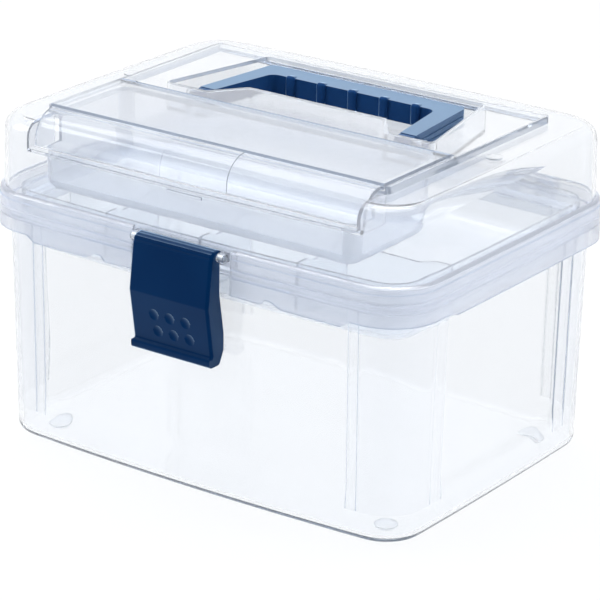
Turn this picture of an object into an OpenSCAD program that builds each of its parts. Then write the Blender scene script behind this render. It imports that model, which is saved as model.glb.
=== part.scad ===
// Clear medicine storage bin with a hinged lid, a quick-access compartment under its own flap,
// a fold-flat carry handle, a front latch and a lift-out tray. Millimetres, front towards -Y.
// The origin is on the floor, under the middle of the object.

/* [Bin] */
// Outer width of the bin at its floor
bin_w = 258.4; // [200:0.1:300]
// Outer depth of the bin at its floor
bin_d = 192.2; // [160:0.1:230]
// Height of the bin from its floor to the top of its rim
bin_h = 130.4; // [110:0.1:160]
// Wall thickness of the bin
bin_wall = 2.4; // [2:0.1:2.8]
// Radius of the bin's upright corners
bin_corner_r = 22; // [16:0.5:26]
// How much wider each side is at the rim than at the floor
draft = 1.8; // [1:0.1:3]
// How far the front and back walls bulge out at mid width
front_bow = 3.4; // [2:0.1:4]
// How far the end walls bulge out at mid depth
side_bow = 0.8; // [0.4:0.1:1.5]
// Depth of the sunk panels between the corner columns
panel_sink = 1; // [0.6:0.1:1.2]
// Width of a corner column along the front
column_w_front = 31; // [26:0.5:40]
// Width of a corner column along the end
column_w_side = 43; // [34:0.5:50]
// Height of the plain band below the sunk panels
foot_band_h = 18; // [12:0.5:24]
// Height of the bevel around the bin's floor
floor_bevel = 3; // [2:0.1:4]
// Diameter of a foot pad
foot_d = 12; // [8:0.5:16]
// Distance of a foot pad's middle from the bin's end
foot_in_x = 23; // [20:0.5:34]
// Distance of a foot pad's middle from the bin's front or back
foot_in_y = 26.6; // [22:0.1:36]
// How far the foot pads lift the bin off the floor
foot_lift = 1.2; // [0.8:0.1:2]

/* [Rim] */
// How far the rim stands out from the wall
rim_over = 5; // [4.5:0.1:6]
// Height of the rim's skirt
skirt_h = 13.4; // [11:0.1:16]
// Skirt height around the two front corners
skirt_corner_h = 8.8; // [7:0.1:10]
// Width of the shallow place in the skirt beside a front corner
skirt_corner_w = 38; // [34:0.5:42]
// Depth of the shallow place in the skirt along the end
skirt_corner_d = 44; // [40:0.5:50]
// Wall thickness of the rim and its skirt
rim_t = 2.2; // [1.8:0.1:2.6]
// Depth of the ledge in the rim that carries the tray
ledge_depth = 4.6; // [4:0.1:5]
// Width of the rim left outside that ledge
ledge_wall = 3.8; // [3.4:0.1:4]
// Width of the gap in the rims that the latch sits in
latch_gap_w = 62; // [60:0.5:70]
// Radius of the rim's corners
rim_corner_r = 30; // [26:0.5:32]
// How far the rim bulges at mid width
rim_bow = 1.5; // [1:0.1:2]

/* [Lid] */
// Height of the lid's flange
flange_h = 9.3; // [8:0.1:11]
// Wall thickness of the lid
lid_wall = 2; // [1.6:0.1:2.2]
// How far the lid's wall stands back from its flange
lid_inset = 2.9; // [2.5:0.1:3.2]
// Height of the lid's shoulder above the bottom of its flange
lid_h = 48.3; // [46:0.1:56]
// Height of the bevel on the upper edge of the flange
flange_bevel = 2.4; // [1.6:0.1:3]
// How far each side of the lid leans in
lid_taper = 0.8; // [0.4:0.1:1.2]
// Radius of the edge between the lid's wall and its shoulder
shoulder_r = 8; // [5:0.5:9]
// Radius of the lid's upright corners
lid_corner_r = 28; // [24:0.5:30]
// Distance from the rim's end in to the raised platform
platform_in_side = 28.5; // [24:0.5:32]
// Distance from the rim's front in to the platform
platform_in_front = 25.9; // [24:0.1:28]
// Distance from the rim's back in to the platform
platform_in_back = 30.9; // [29:0.1:34]
// Height of the platform above the shoulder
platform_rise = 4; // [3.5:0.1:5]

/* [Compartment] */
// Distance from the flap's end in to the compartment
tub_in_side = 5.5; // [4.5:0.5:14]
// Distance from the rim's front in to the compartment
tub_in_front = 10.4; // [10:0.1:12]
// Distance from the flap's hinge axis forward to the compartment
tub_in_back = 5; // [4.5:0.5:12]
// Outer height of the compartment below the platform's top
tub_h = 41; // [34:0.5:41.5]
// Wall thickness of the compartment
tub_wall = 1.8; // [1.4:0.1:2.2]
// Radius of the compartment's upright corners and lower edges
tub_r = 9; // [6:0.5:12]
// Distance from the platform's top down to the ledge that the flap closes on
lip_ledge_drop = 17.8; // [17.4:0.1:18.5]

/* [Flap] */
// Distance from the platform's end in to the flap
flap_in_side = 3; // [2.6:0.1:6]
// Thickness of the flap
flap_t = 2; // [1.6:0.1:2.4]
// Outer radius of the flap's rolled front
curl_r = 16; // [14:0.5:17]
// Width of the thumb tab on the flap's rolled front
tab_w = 42; // [30:1:60]
// Distance from the handle's well forward to the flap's hinge axis
flap_hinge_in = 13; // [7:0.5:16]
// Outer radius of the flap's hinge barrels
flap_barrel_r = 2.2; // [2:0.1:2.4]
// Length of a flap hinge barrel
flap_barrel_len = 9; // [6:0.5:16]
// Radius of the flap's hinge pins
flap_pin_r = 1; // [0.8:0.05:1.1]
// Length of a flap hinge pin
flap_pin_len = 12; // [11.8:0.1:16]

/* [Handle] */
// Distance from the well's end in to the handle, at the well's front
handle_in = 16; // [14:0.5:22]
// How far each leg leans in on its way to the grip
leg_lean = 6; // [4:0.5:12]
// Width of a leg
leg_w = 9.5; // [8:0.1:11]
// Thickness of the handle
handle_t = 11; // [9:0.1:12]
// Width of the grip bar from front to back
grip_d = 14; // [11:0.1:15]
// Distance from the handle's pivots to the back edge of the grip
handle_reach = 57; // [50:0.5:58]
// Gap between the grip and the well's back wall
grip_back_gap = 6; // [4:0.5:10]
// Radius of the handle's pivots
handle_pivot_r = 2.4; // [2:0.1:2.8]
// How far a pivot reaches into its ear
handle_pivot_len = 4; // [3:0.1:5]
// Thickness of the ear that a pivot turns in
ear_t = 5; // [4.5:0.1:6]
// Radius of the round front end of a leg
handle_eye_r = 6; // [5:0.1:6.2]
// Distance between finger ribs
rib_pitch = 20.2; // [14:0.1:22]
// Radius of a finger rib
rib_r = 2; // [1.2:0.1:2.4]
// Depth of the well that the handle folds into, below the platform's top
well_h = 15; // [14.5:0.1:16]
// Wall thickness of the well
well_wall = 1.6; // [1.2:0.1:2]
// Distance from the platform's end in to the well's front corners
well_in_front = 22.5; // [18:0.5:26]
// Distance from the platform's end in to the well's back corners
well_in_back = 37.5; // [32:0.5:40]
// Distance from the platform's back edge in to the well
well_back_in = 5; // [4:0.5:8]
// Distance from the handle's pivots forward to the well's front wall
well_front_gap = 9; // [8:0.5:12]
// Depth of the island that the well goes round
island_d = 19; // [12:0.5:24]

/* [Latch] */
// Width of the latch
latch_w = 50; // [44:0.5:54]
// Height of the latch from its pivot down to its lip
latch_drop = 58; // [50:0.5:64]
// Wall thickness of the latch
latch_wall = 2.2; // [1.8:0.1:2.6]
// Distance that the latch stands out from the rim at its fold
latch_stand = 10.4; // [9:0.1:12]
// Distance of the fold below the latch's pin
fold_drop = 25.5; // [22:0.5:28]
// Radius of the barrel that the latch's pin runs through
latch_barrel_r = 3.5; // [3.2:0.1:3.8]
// Thickness of the lugs that hold the latch's pin
latch_lug_t = 4; // [3:0.1:5]
// Radius of the latch's pin
latch_pin_r = 1.5; // [1.2:0.1:1.8]
// Diameter of a thumb dimple on the latch
dimple_d = 6.5; // [4:0.5:8]
// Distance between thumb dimples
dimple_pitch = 10; // [8.5:0.5:13]
// Distance between the two rows of dimples
dimple_row_pitch = 9.2; // [8.5:0.1:10]
// Width of the catch that the latch snaps below
catch_w = 40; // [30:1:44]
// Thickness of the catch
catch_h = 2.2; // [1.6:0.1:2.6]

/* [Tray] */
// Height of the tray
tray_h = 32; // [26:0.5:34]
// Height of the tray's wall above its flange
tray_wall_above = 10.5; // [8:0.5:11]
// Wall thickness of the tray
tray_wall = 1.8; // [1.4:0.1:2.2]
// Thickness of the tray's flange
tray_flange_t = 1.3; // [1:0.1:1.6]
// How much narrower each side of the tray is at its floor
tray_draft = 1.4; // [0.8:0.1:2]
// Depth of the tray's front row, up to the long divider
front_row_d = 50.1; // [40:0.1:60]
// Number of short dividers in the tray's front row
short_dividers = 3; // [2:1:5]
// Thickness of a divider
divider_t = 1.6; // [1.2:0.1:2]
// Distance of the dividers' tops below the tray's
divider_drop = 1.5; // [1:0.1:3]
// Depth of the dips in a divider's upper edge
divider_dip = 2.2; // [1:0.1:4]

/* [Rear hinges] */
// Distance from the rim's end in to the middle of a rear hinge
hinge_in = 61; // [50:0.5:80]
// Radius of the rear hinge barrels
hinge_barrel_r = 4.4; // [4:0.1:4.6]
// Radius of the rear hinge pins
hinge_pin_r = 1.6; // [1.4:0.1:2]
// Length of the lid's barrel in each rear hinge
hinge_lid_len = 14; // [10:0.5:18]
// Length of each of the bin's barrels in a rear hinge
hinge_bin_len = 8; // [6:0.5:10]
// Height of the webs that carry the bin's barrels
hinge_web_h = 9; // [7:0.1:11]

/* [Clearances] */
// Gap between parts that move past or rest on each other
gap = 0.3; // [0.3:0.05:0.4]
// Gap along a pin between a turning piece and what it turns in
end_gap = 0.4; // [0.3:0.05:0.5]
// Radial running clearance of a pin
run_fit = 0.06; // [0.03:0.01:0.09]

/* [Hidden] */
$fn = 48;

// Steps along a bowed side and around a rounded corner
side_steps = 4;
corner_steps = 6;
// Steps of the rounded shoulder
shoulder_steps = 4;
// A cut runs this far past what it cuts
over = 1;
// A block that carries a barrel ends this share of the barrel's radius from its axis
barrel_root = 0.7;

// Bin
bin_hw = bin_w / 2;
bin_hd = bin_d / 2;
base_z = foot_lift;
rim_z = base_z + bin_h;
top_hw = bin_hw + draft;
top_hd = bin_hd + draft;
rim_hw = top_hw + rim_over;
rim_hd = top_hd + rim_over;
rim_side_bow = side_bow / 2;
rim_top_t = ledge_depth + 0.4;
skirt_z = rim_z - skirt_h;
panel_z0 = base_z + foot_band_h;
foot_x = bin_hw - foot_in_x;
foot_y = bin_hd - foot_in_y;
foot_seat = 1;
ledge_z = rim_z - ledge_depth;

// Catch under the rim, in the gap that holds the latch
catch_out = 3.4;
catch_drop = 8.2;
catch_hw = catch_w / 2;
catch_y = -top_hd - catch_out;
catch_z = rim_z - catch_drop;
gap_back_y = -top_hd - 1.2;

// Lid
lid_z0 = rim_z + gap;
flange_z = lid_z0 + flange_h;
lid_hw = rim_hw - lid_inset;
lid_hd = rim_hd - lid_inset;
shoulder_z = lid_z0 + lid_h;
platform_z = shoulder_z + platform_rise;
platform_hw = rim_hw - platform_in_side;
platform_front = rim_hd - platform_in_front;
platform_back = rim_hd - platform_in_back;

// Handle and its well
handle_sink = 2;
eye_drop = 6.4;
handle_top_z = platform_z - handle_sink;
handle_axis_z = handle_top_z - eye_drop;
well_z0 = platform_z - well_h;
well_back = platform_back - well_back_in;
handle_pivot_back = well_back - grip_back_gap - handle_reach;
well_front_y = handle_pivot_back - well_front_gap;
well_front_hw = platform_hw - well_in_front;
well_back_hw = platform_hw - well_in_back;
handle_w = 2 * (well_front_hw - handle_in);
grip_w = handle_w - 2 * leg_lean;
rib_count = floor((grip_w - 2 * leg_w) / rib_pitch);
ear_wall = 2.4;
leg_gap = 0.8;

// Island that the well goes round, with its sloping ends
island_leg_gap = 1.5;
island_slope = 14;
island_back_y = well_front_y + island_d;
island_front_hw = handle_w / 2 - leg_w - island_leg_gap;
island_back_hw = island_front_hw - island_slope;

// Flap
flap_proud = 1;
flap_top_z = platform_z + flap_proud;
flap_hw = platform_hw - flap_in_side;
flap_side_gap = 0.5;
flap_opening_hw = flap_hw + flap_side_gap;
flap_front_y = -platform_front - flap_proud;
flap_hinge_front = flap_hinge_in - well_front_y;
flap_axis_z = flap_top_z - flap_barrel_r;
flap_pin_x1 = flap_opening_hw + 1.7;
flap_barrel_x1 = flap_hw - gap;

// Compartment, and the ledge at the front that the flap's lip closes on
tub_z0 = platform_z - tub_h;
tub_w = 2 * (flap_hw - tub_in_side);
tub_front = rim_hd - tub_in_front;
tub_back = flap_hinge_front + tub_in_back;
tub_d = tub_front - tub_back;
lip_ledge_z = platform_z - lip_ledge_drop;
flap_seat_drop = 2.6;
flap_seat_z = platform_z - flap_seat_drop;
flap_lip_z = lip_ledge_z + gap;
cheek_t = 1.6;
tub_edge_steps = 3;

// Latch
latch_axis_out = 1.4;
latch_axis_drop = 3.8;
latch_axis_y = -(rim_hd + latch_axis_out);
latch_axis_z = flange_z - latch_axis_drop;
latch_fold_y = -(rim_hd + latch_stand);
latch_fold_z = latch_axis_z - fold_drop;
latch_low_z = latch_axis_z - latch_drop;
latch_back_y = -rim_hd - gap;
latch_pin_len = latch_w + 2 * latch_lug_t;
latch_lug_r = 3;
// Distance from the fold in to the foot of the lower panel
latch_lean = 4.6;
// Height of the flared lip
lip_h = 6;

// Tray
tray_flange_z0 = ledge_z + gap;
tray_top_z = tray_flange_z0 + tray_flange_t + tray_wall_above;
tray_z0 = tray_top_z - tray_h;
tray_side_gap = 3.4;
tray_hw = top_hw - bin_wall - tray_side_gap;
tray_hd = top_hd - bin_wall - tray_side_gap;
tray_corner_r = bin_corner_r - bin_wall - tray_side_gap + 0.8;
tray_bevel = 1.6;
tray_bevel_h = 2;
tray_floor_hw = tray_hw - side_bow - tray_draft - tray_wall;
tray_floor_hd = tray_hd - front_bow - tray_draft - tray_wall;
long_divider_y = front_row_d - tray_hd;
short_divider_pitch = 2 * tray_floor_hw / (short_dividers + 1);

// Rear hinges: their barrels reach as far back as the latch reaches forward
hinge_y = rim_hd + latch_stand - hinge_barrel_r;
hinge_z = rim_z + gap / 2;
hinge_x = rim_hw - hinge_in;
hinge_root_y = rim_hd - rim_bow - rim_t;
hinge_len = hinge_lid_len + 2 * hinge_bin_len + 2 * end_gap;

// One point of an arc
function polar(cx, cy, r, a) = [cx + r * cos(a), cy + r * sin(a)];

// Points of an arc without its two ends
function arc(cx, cy, r, a0) = [
    for (i = [1 : corner_steps - 1]) polar(cx, cy, r, a0 + 90 * i / corner_steps)
];

// A rounded rectangle whose front and back bulge by fb and whose ends bulge by sb
function plan(hw, hd, r, fb, sb) = let (
    cx = hw - sb - r,
    cy = hd - fb - r,
    t = [for (i = [-side_steps : side_steps]) i / side_steps]
) concat(
    [for (u = t) [hw - sb * u * u, cy * u]],
    arc(cx, cy, r, 0),
    [for (u = t) [-cx * u, hd - fb * u * u]],
    arc(-cx, cy, r, 90),
    [for (u = t) [-hw + sb * u * u, -cy * u]],
    arc(-cx, -cy, r, 180),
    [for (u = t) [cx * u, -hd + fb * u * u]],
    arc(cx, -cy, r, 270)
);

function bin_plan(grow) = plan(bin_hw + grow, bin_hd + grow, bin_corner_r + grow, front_bow, side_bow);
function rim_plan(grow) = plan(rim_hw + grow, rim_hd + grow, rim_corner_r + grow, rim_bow, rim_side_bow);
function ledge_plan(grow) = rim_plan(grow - ledge_wall);
function lid_plan(grow) = plan(lid_hw + grow, lid_hd + grow, lid_corner_r + grow, rim_bow, rim_side_bow);
function tray_plan(grow) =
    plan(tray_hw + grow, tray_hd + grow, tray_corner_r + grow, front_bow, side_bow);

// A closed skin through outlines stacked at rising heights
module loft(levels, outlines) {
    n = len(outlines[0]);
    last = len(levels) - 1;
    points = [for (k = [0 : last]) for (p = outlines[k]) [p[0], p[1], levels[k]]];
    sides = [
        for (k = [0 : last - 1]) for (i = [0 : n - 1]) let (
            a = k * n + i,
            b = k * n + (i + 1) % n
        ) each [[a, a + n, b + n], [a, b + n, b]]
    ];
    bottom = [[for (i = [0 : n - 1]) i]];
    top = [[for (i = [n - 1 : -1 : 0]) last * n + i]];
    polyhedron(points, concat(bottom, sides, top));
}

// A plate between two heights
module plate(z0, z1, outline) {
    translate([0, 0, z0])
        linear_extrude(height = z1 - z0)
            polygon(outline);
}

// A block between two corners
module block(low, high) {
    translate(low)
        cube(high - low);
}

// A rod along X
module rod(x0, x1, y, z, r) {
    translate([x0, y, z])
        rotate([0, 90, 0])
            cylinder(r = r, h = x1 - x0);
}

// A side view, drawn in Y and Z, drawn out along X
module side_view(x0, x1, outline) {
    translate([x0, 0, 0])
        rotate([90, 0, 90])
            linear_extrude(height = x1 - x0)
                polygon(outline);
}

// The same thing on the right and on the left
module both_ends() {
    children();
    mirror([1, 0, 0])
        children();
}

// The bin's drafted body; grow is negative for its inner side
module bin_shape(grow, z0, z1) {
    low = grow + draft * (z0 - base_z) / bin_h;
    high = grow + draft * (z1 - base_z) / bin_h;
    bevel_in = floor_bevel * 0.7;
    loft([z0, z0 + floor_bevel, z1], [bin_plan(low - bevel_in), bin_plan(low), bin_plan(high)]);
}

// Everything outside the corner columns
module panel_zone() {
    col_x = bin_hw - column_w_front;
    col_y = bin_hd - column_w_side;
    far = bin_w;
    z1 = rim_z - ledge_depth - over;
    block([-col_x, -far, panel_z0], [col_x, far, z1]);
    block([-far, -col_y, panel_z0], [far, col_y, z1]);
}

module foot_places() {
    for (x = [-foot_x, foot_x])
        for (y = [-foot_y, foot_y])
            translate([x, y, 0])
                children();
}

// Barrels of one rear hinge that belong to the bin
module bin_barrels() {
    x0 = hinge_lid_len / 2 + end_gap;
    x1 = x0 + hinge_bin_len;
    both_ends() {
        rod(x0, x1, hinge_y, hinge_z, hinge_barrel_r);
        block(
            [x0, hinge_root_y, rim_z - hinge_web_h],
            [x1, hinge_y + hinge_barrel_r / 2, hinge_z - hinge_barrel_r * barrel_root]
        );
    }
}

module bin_rim() {
    difference() {
        plate(skirt_z, rim_z, rim_plan(0));
        plate(skirt_z - over, rim_z - rim_top_t, rim_plan(-rim_t));
        skirt_cuts();
        latch_gap(skirt_z - over, rim_z + over, gap_back_y);
    }
}

// The skirt's shallow places: around the front corners, and a small one beside the latch
module skirt_cuts() {
    notch_x = latch_gap_w / 2 + 19;
    notch_w = 8;
    notch_h = 3.2;
    both_ends() {
        block(
            [rim_hw - skirt_corner_w, -rim_hd - over, skirt_z - over],
            [rim_hw + over, skirt_corner_d - rim_hd, rim_z - skirt_corner_h]
        );
        block(
            [notch_x, -rim_hd - over, skirt_z - over],
            [notch_x + notch_w, 0, skirt_z + notch_h]
        );
    }
}

// The space that both rims leave free for the latch
module latch_gap(z0, z1, back_y) {
    block([-latch_gap_w / 2, -rim_hd - over, z0], [latch_gap_w / 2, back_y, z1]);
}

// The ledge under the rim that the latch snaps below
module bin_catch() {
    root = -top_hd + panel_sink + over;
    block([-catch_hw, catch_y, catch_z - catch_h], [catch_hw, root, catch_z]);
}

module bin() {
    color([0.86, 0.92, 0.97, 0.4])
        difference() {
            union() {
                difference() {
                    bin_shape(0, base_z, rim_z);
                    difference() {
                        panel_zone();
                        bin_shape(-panel_sink, base_z, rim_z);
                    }
                }
                bin_rim();
                bin_catch();
                for (x = [-hinge_x, hinge_x])
                    translate([x, 0, 0])
                        bin_barrels();
            }
            bin_shape(-bin_wall, base_z + bin_wall, rim_z + over);
            plate(ledge_z, rim_z + over, ledge_plan(0));
            foot_places()
                cylinder(r = foot_d / 2, h = base_z + foot_seat);
            for (x = [-hinge_x, hinge_x])
                translate([x, 0, 0])
                    rod(-hinge_len, hinge_len, hinge_y, hinge_z, hinge_pin_r);
        }
}

module bin_feet() {
    edge = 0.8;
    h = base_z + foot_seat;
    color([0.9, 0.92, 0.94, 0.6])
        foot_places()
            rotate_extrude()
                polygon([[0, 0], [foot_d / 2 - edge, 0], [foot_d / 2, edge], [foot_d / 2, h], [0, h]]);
}

module lid_hinge_pins() {
    color([0.75, 0.77, 0.8])
        for (x = [-hinge_x, hinge_x])
            rod(x - hinge_len / 2, x + hinge_len / 2, hinge_y, hinge_z, hinge_pin_r);
}

// The lid's outer or inner form, from its flange up to its shoulder
module lid_shape(t, z0) {
    bend_z = shoulder_z - shoulder_r;
    r = shoulder_r - t;
    angles = [for (i = [1 : shoulder_steps]) 90 * i / shoulder_steps];
    loft(
        concat(
            [z0, flange_z - flange_bevel - t / 2, flange_z - t / 2, bend_z],
            [for (a = angles) bend_z + r * sin(a)]
        ),
        concat(
            [rim_plan(-t), rim_plan(-t), lid_plan(-t), lid_plan(-t - lid_taper)],
            [for (a = angles) lid_plan(-t - lid_taper - r * (1 - cos(a)))]
        )
    );
}

// The raised platform; t is its wall's thickness on the inner side
module platform_shape(t) {
    hw = platform_hw - t;
    block([-hw, t - platform_front, shoulder_z - shoulder_r], [hw, platform_back - t, platform_z - t]);
}

// The opening in the lid's top that the compartment and the flap fill
module flap_opening() {
    hw = flap_opening_hw;
    barrel_y = -flap_hinge_front + flap_barrel_r + gap;
    block([-tub_w / 2, -tub_front, flange_z], [tub_w / 2, -tub_back, platform_z + over]);
    block([-hw, -lid_hd - over, lip_ledge_z], [hw, -platform_front, platform_z + over]);
    block([-hw, -tub_front, flap_seat_z], [hw, barrel_y, platform_z + over]);
    rod(-hw, hw, -flap_hinge_front, flap_axis_z, flap_barrel_r + gap);
}

// Walls that close the lid beside the flap, and the floor under the flap's edge
module flap_seat() {
    x0 = flap_opening_hw;
    x1 = x0 + cheek_t;
    front_y = -lid_hd + rim_bow + lid_wall;
    back_y = -flap_hinge_front + flap_barrel_r + cheek_t;
    trough_z = flap_axis_z - flap_barrel_r - gap - cheek_t;
    both_ends()
        block([x0, front_y, lip_ledge_z - lid_wall], [x1, lid_wall - platform_front, shoulder_z - gap]);
    block([-x1, front_y, lip_ledge_z - lid_wall], [x1, -tub_front, lip_ledge_z]);
    difference() {
        union() {
            block([-x1, -platform_front, flap_seat_z - lid_wall], [x1, back_y, flap_seat_z]);
            block([-x1, -tub_back, trough_z], [x1, back_y, flap_seat_z]);
        }
        rod(-x0, x0, -flap_hinge_front, flap_axis_z, flap_barrel_r + gap);
        plate(flap_seat_z - 2 * lid_wall, flap_seat_z + over, tub_plan(0));
    }
}

// The outline of the handle's well, seen from above; grow moves it outward
function well_plan(grow) = [
    [-well_front_hw - grow, well_front_y - grow],
    [-island_front_hw + grow, well_front_y - grow],
    [-island_back_hw + grow, island_back_y - grow],
    [island_back_hw - grow, island_back_y - grow],
    [island_front_hw - grow, well_front_y - grow],
    [well_front_hw + grow, well_front_y - grow],
    [well_back_hw + grow, well_back + grow],
    [-well_back_hw - grow, well_back + grow]
];

// Lugs that hold the latch's pin in the gap of the flange
module latch_lugs() {
    x0 = latch_w / 2 + gap;
    x1 = latch_w / 2 + latch_lug_t;
    both_ends() {
        rod(x0, x1, latch_axis_y, latch_axis_z, latch_lug_r);
        block(
            [x0, latch_axis_y, latch_axis_z - latch_lug_r],
            [x1, -lid_hd + lid_wall + rim_bow, latch_axis_z + latch_lug_r]
        );
    }
}

// The lid's barrels in the rear hinges, and the arms that carry them
module lid_barrels() {
    x1 = hinge_lid_len / 2;
    for (x = [-hinge_x, hinge_x])
        translate([x, 0, 0]) {
            rod(-x1, x1, hinge_y, hinge_z, hinge_barrel_r);
            block([-x1, hinge_root_y, lid_z0], [x1, hinge_y, hinge_z + hinge_barrel_r]);
        }
}

// A round mould mark on each end of the shoulder
module shoulder_marks() {
    mark_x = platform_hw + 8.5;
    mark_y = 4.5;
    mark_r = 4.4;
    mark_h = 0.5;
    both_ends()
        translate([mark_x, mark_y, shoulder_z - lid_wall / 2])
            cylinder(r = mark_r, h = mark_h + lid_wall / 2);
}

// The bar under the flap's thumb tab
module flap_catch() {
    hw = 11;
    out = 0.7;
    h = 1.4;
    drop = 2;
    y = -lid_hd + lid_taper / 2;
    z1 = lip_ledge_z - drop;
    block([-hw, y - out, z1 - h], [hw, y + lid_wall / 2, z1]);
}

module lid() {
    color([0.86, 0.92, 0.97, 0.4])
        difference() {
            union() {
                difference() {
                    union() {
                        lid_shape(0, lid_z0);
                        platform_shape(0);
                    }
                    lid_shape(lid_wall, lid_z0 - over);
                    platform_shape(lid_wall);
                    flap_opening();
                    plate(well_z0 - over, platform_z + over, well_plan(0));
                    latch_gap(lid_z0 - over, flange_z, -lid_hd);
                }
                latch_gap_wall();
                flap_seat();
                latch_lugs();
                lid_barrels();
                shoulder_marks();
                flap_catch();
            }
            rod(-latch_pin_len, latch_pin_len, latch_axis_y, latch_axis_z, latch_pin_r);
            for (x = [-hinge_x, hinge_x])
                translate([x, 0, 0])
                    rod(-hinge_len / 2, hinge_len / 2, hinge_y, hinge_z, hinge_pin_r + run_fit);
            rod(-flap_pin_x1, flap_pin_x1, -flap_hinge_front, flap_axis_z, flap_pin_r);
        }
}

// Closes the lid behind the latch, where the flange is cut away
module latch_gap_wall() {
    hw = latch_gap_w / 2 + lid_wall;
    intersection() {
        difference() {
            plate(lid_z0, flange_z, lid_plan(0));
            plate(lid_z0 - over, flange_z + over, lid_plan(-lid_wall));
        }
        block([-hw, -rim_hd, lid_z0], [hw, 0, flange_z]);
    }
}

// One rounded tub outline
function tub_plan(inset) = let (
    hw = tub_w / 2 - inset,
    r = max(tub_r - inset, 1),
    mid = -(tub_front + tub_back) / 2
) [for (p = plan(hw, tub_d / 2 - inset, r, 0.01, 0.01)) [p[0], p[1] + mid]];

// The tub with rounded lower edges
module tub_shape(t, z1) {
    r = tub_r - t;
    angles = [for (i = [0 : tub_edge_steps]) 90 * i / tub_edge_steps];
    loft(
        concat([for (a = angles) tub_z0 + t + r * (1 - cos(a))], [z1]),
        concat([for (a = angles) tub_plan(t + r * (1 - sin(a)))], [tub_plan(t)])
    );
}

module lid_compartment() {
    color([0.78, 0.86, 0.93, 0.5])
        difference() {
            tub_shape(0, flap_seat_z - lid_wall);
            tub_shape(tub_wall, flap_seat_z + over);
            block([-tub_w, -tub_front - over, lip_ledge_z], [tub_w, -platform_front, flap_seat_z + over]);
        }
}

// Ears that the handle's pivots turn in
module well_ears() {
    x0 = handle_w / 2 + leg_gap;
    r = handle_pivot_r + ear_wall;
    both_ends() {
        rod(x0, x0 + ear_t, handle_pivot_back, handle_axis_z, r);
        block([x0, handle_pivot_back - r, well_z0], [x0 + ear_t, handle_pivot_back + r, handle_axis_z]);
    }
}

module handle_well() {
    color([0.86, 0.92, 0.97, 0.4])
        difference() {
            union() {
                difference() {
                    plate(well_z0 - well_wall, platform_z - lid_wall, well_plan(well_wall));
                    plate(well_z0, platform_z + over, well_plan(0));
                }
                well_ears();
            }
            both_ends()
                rod(
                    handle_w / 2,
                    handle_w / 2 + leg_gap + ear_t + over,
                    handle_pivot_back,
                    handle_axis_z,
                    handle_pivot_r + run_fit
                );
        }
}

module latch_pin() {
    color([0.75, 0.77, 0.8])
        rod(-latch_pin_len / 2, latch_pin_len / 2, latch_axis_y, latch_axis_z, latch_pin_r);
}

module flap_hinge_pins() {
    color([0.75, 0.77, 0.8])
        both_ends()
            rod(flap_pin_x1 - flap_pin_len, flap_pin_x1, -flap_hinge_front, flap_axis_z, flap_pin_r);
}

// A quarter of a tube along X that turns down at the flap's front
module curl(x0, x1, r, t) {
    axis_z = flap_top_z - curl_r;
    intersection() {
        difference() {
            rod(x0, x1, flap_front_y, axis_z, r);
            rod(x0 - over, x1 + over, flap_front_y, axis_z, r - t);
        }
        block([x0, flap_front_y - curl_r - over, axis_z], [x1, flap_front_y, flap_top_z + over]);
    }
    block([x0, flap_front_y - r, flap_lip_z], [x1, flap_front_y - r + t, axis_z]);
}

module flap_cover() {
    tab_rise = 0.8;
    color([0.86, 0.92, 0.97, 0.4])
        difference() {
            union() {
                block([-flap_hw, flap_front_y, flap_top_z - flap_t], [flap_hw, -flap_hinge_front, flap_top_z]);
                curl(-flap_hw, flap_hw, curl_r, flap_t);
                curl(-tab_w / 2, tab_w / 2, curl_r + tab_rise, flap_t);
                both_ends()
                    rod(
                        flap_barrel_x1 - flap_barrel_len,
                        flap_barrel_x1,
                        -flap_hinge_front,
                        flap_axis_z,
                        flap_barrel_r
                    );
            }
            both_ends()
                rod(
                    flap_pin_x1 - flap_pin_len - gap,
                    flap_pin_x1 + over,
                    -flap_hinge_front,
                    flap_axis_z,
                    flap_pin_r + run_fit
                );
        }
}

// One leg of the handle with its eye and its pivot
module handle_leg() {
    y0 = handle_pivot_back;
    y1 = y0 + handle_reach - grip_d / 2;
    x_front = handle_w / 2 - leg_w;
    x_back = grip_w / 2 - leg_w;
    front_z = handle_axis_z - handle_eye_r * barrel_root;
    low_z = handle_top_z - handle_t;
    intersection() {
        plate(
            low_z - over,
            handle_top_z,
            [[x_front, y0], [x_front + leg_w, y0], [x_back + leg_w, y1], [x_back, y1]]
        );
        side_view(0, handle_w, [[y0, front_z], [y1, low_z], [y1, handle_top_z], [y0, handle_top_z]]);
    }
    rod(x_front, x_front + leg_w, y0, handle_axis_z, handle_eye_r);
    rod(x_front, handle_w / 2 + leg_gap + handle_pivot_len, y0, handle_axis_z, handle_pivot_r);
}

// The grip bar, with its upper edges taken off
module grip() {
    y1 = handle_pivot_back + handle_reach;
    y0 = y1 - grip_d;
    z1 = handle_top_z;
    z0 = z1 - handle_t;
    edge = 1.5;
    rib_stand = 1.4;
    side_view(
        -grip_w / 2,
        grip_w / 2,
        [[y0, z0], [y1, z0], [y1, z1 - edge], [y1 - edge, z1], [y0 + edge, z1], [y0, z1 - edge]]
    );
    for (i = [0 : rib_count - 1])
        translate([(i - (rib_count - 1) / 2) * rib_pitch, y0 + rib_r - rib_stand, z0])
            cylinder(r = rib_r, h = handle_t - edge / 2);
}

module carry_handle() {
    color([0.09, 0.2, 0.4]) {
        both_ends()
            handle_leg();
        grip();
    }
}

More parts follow.
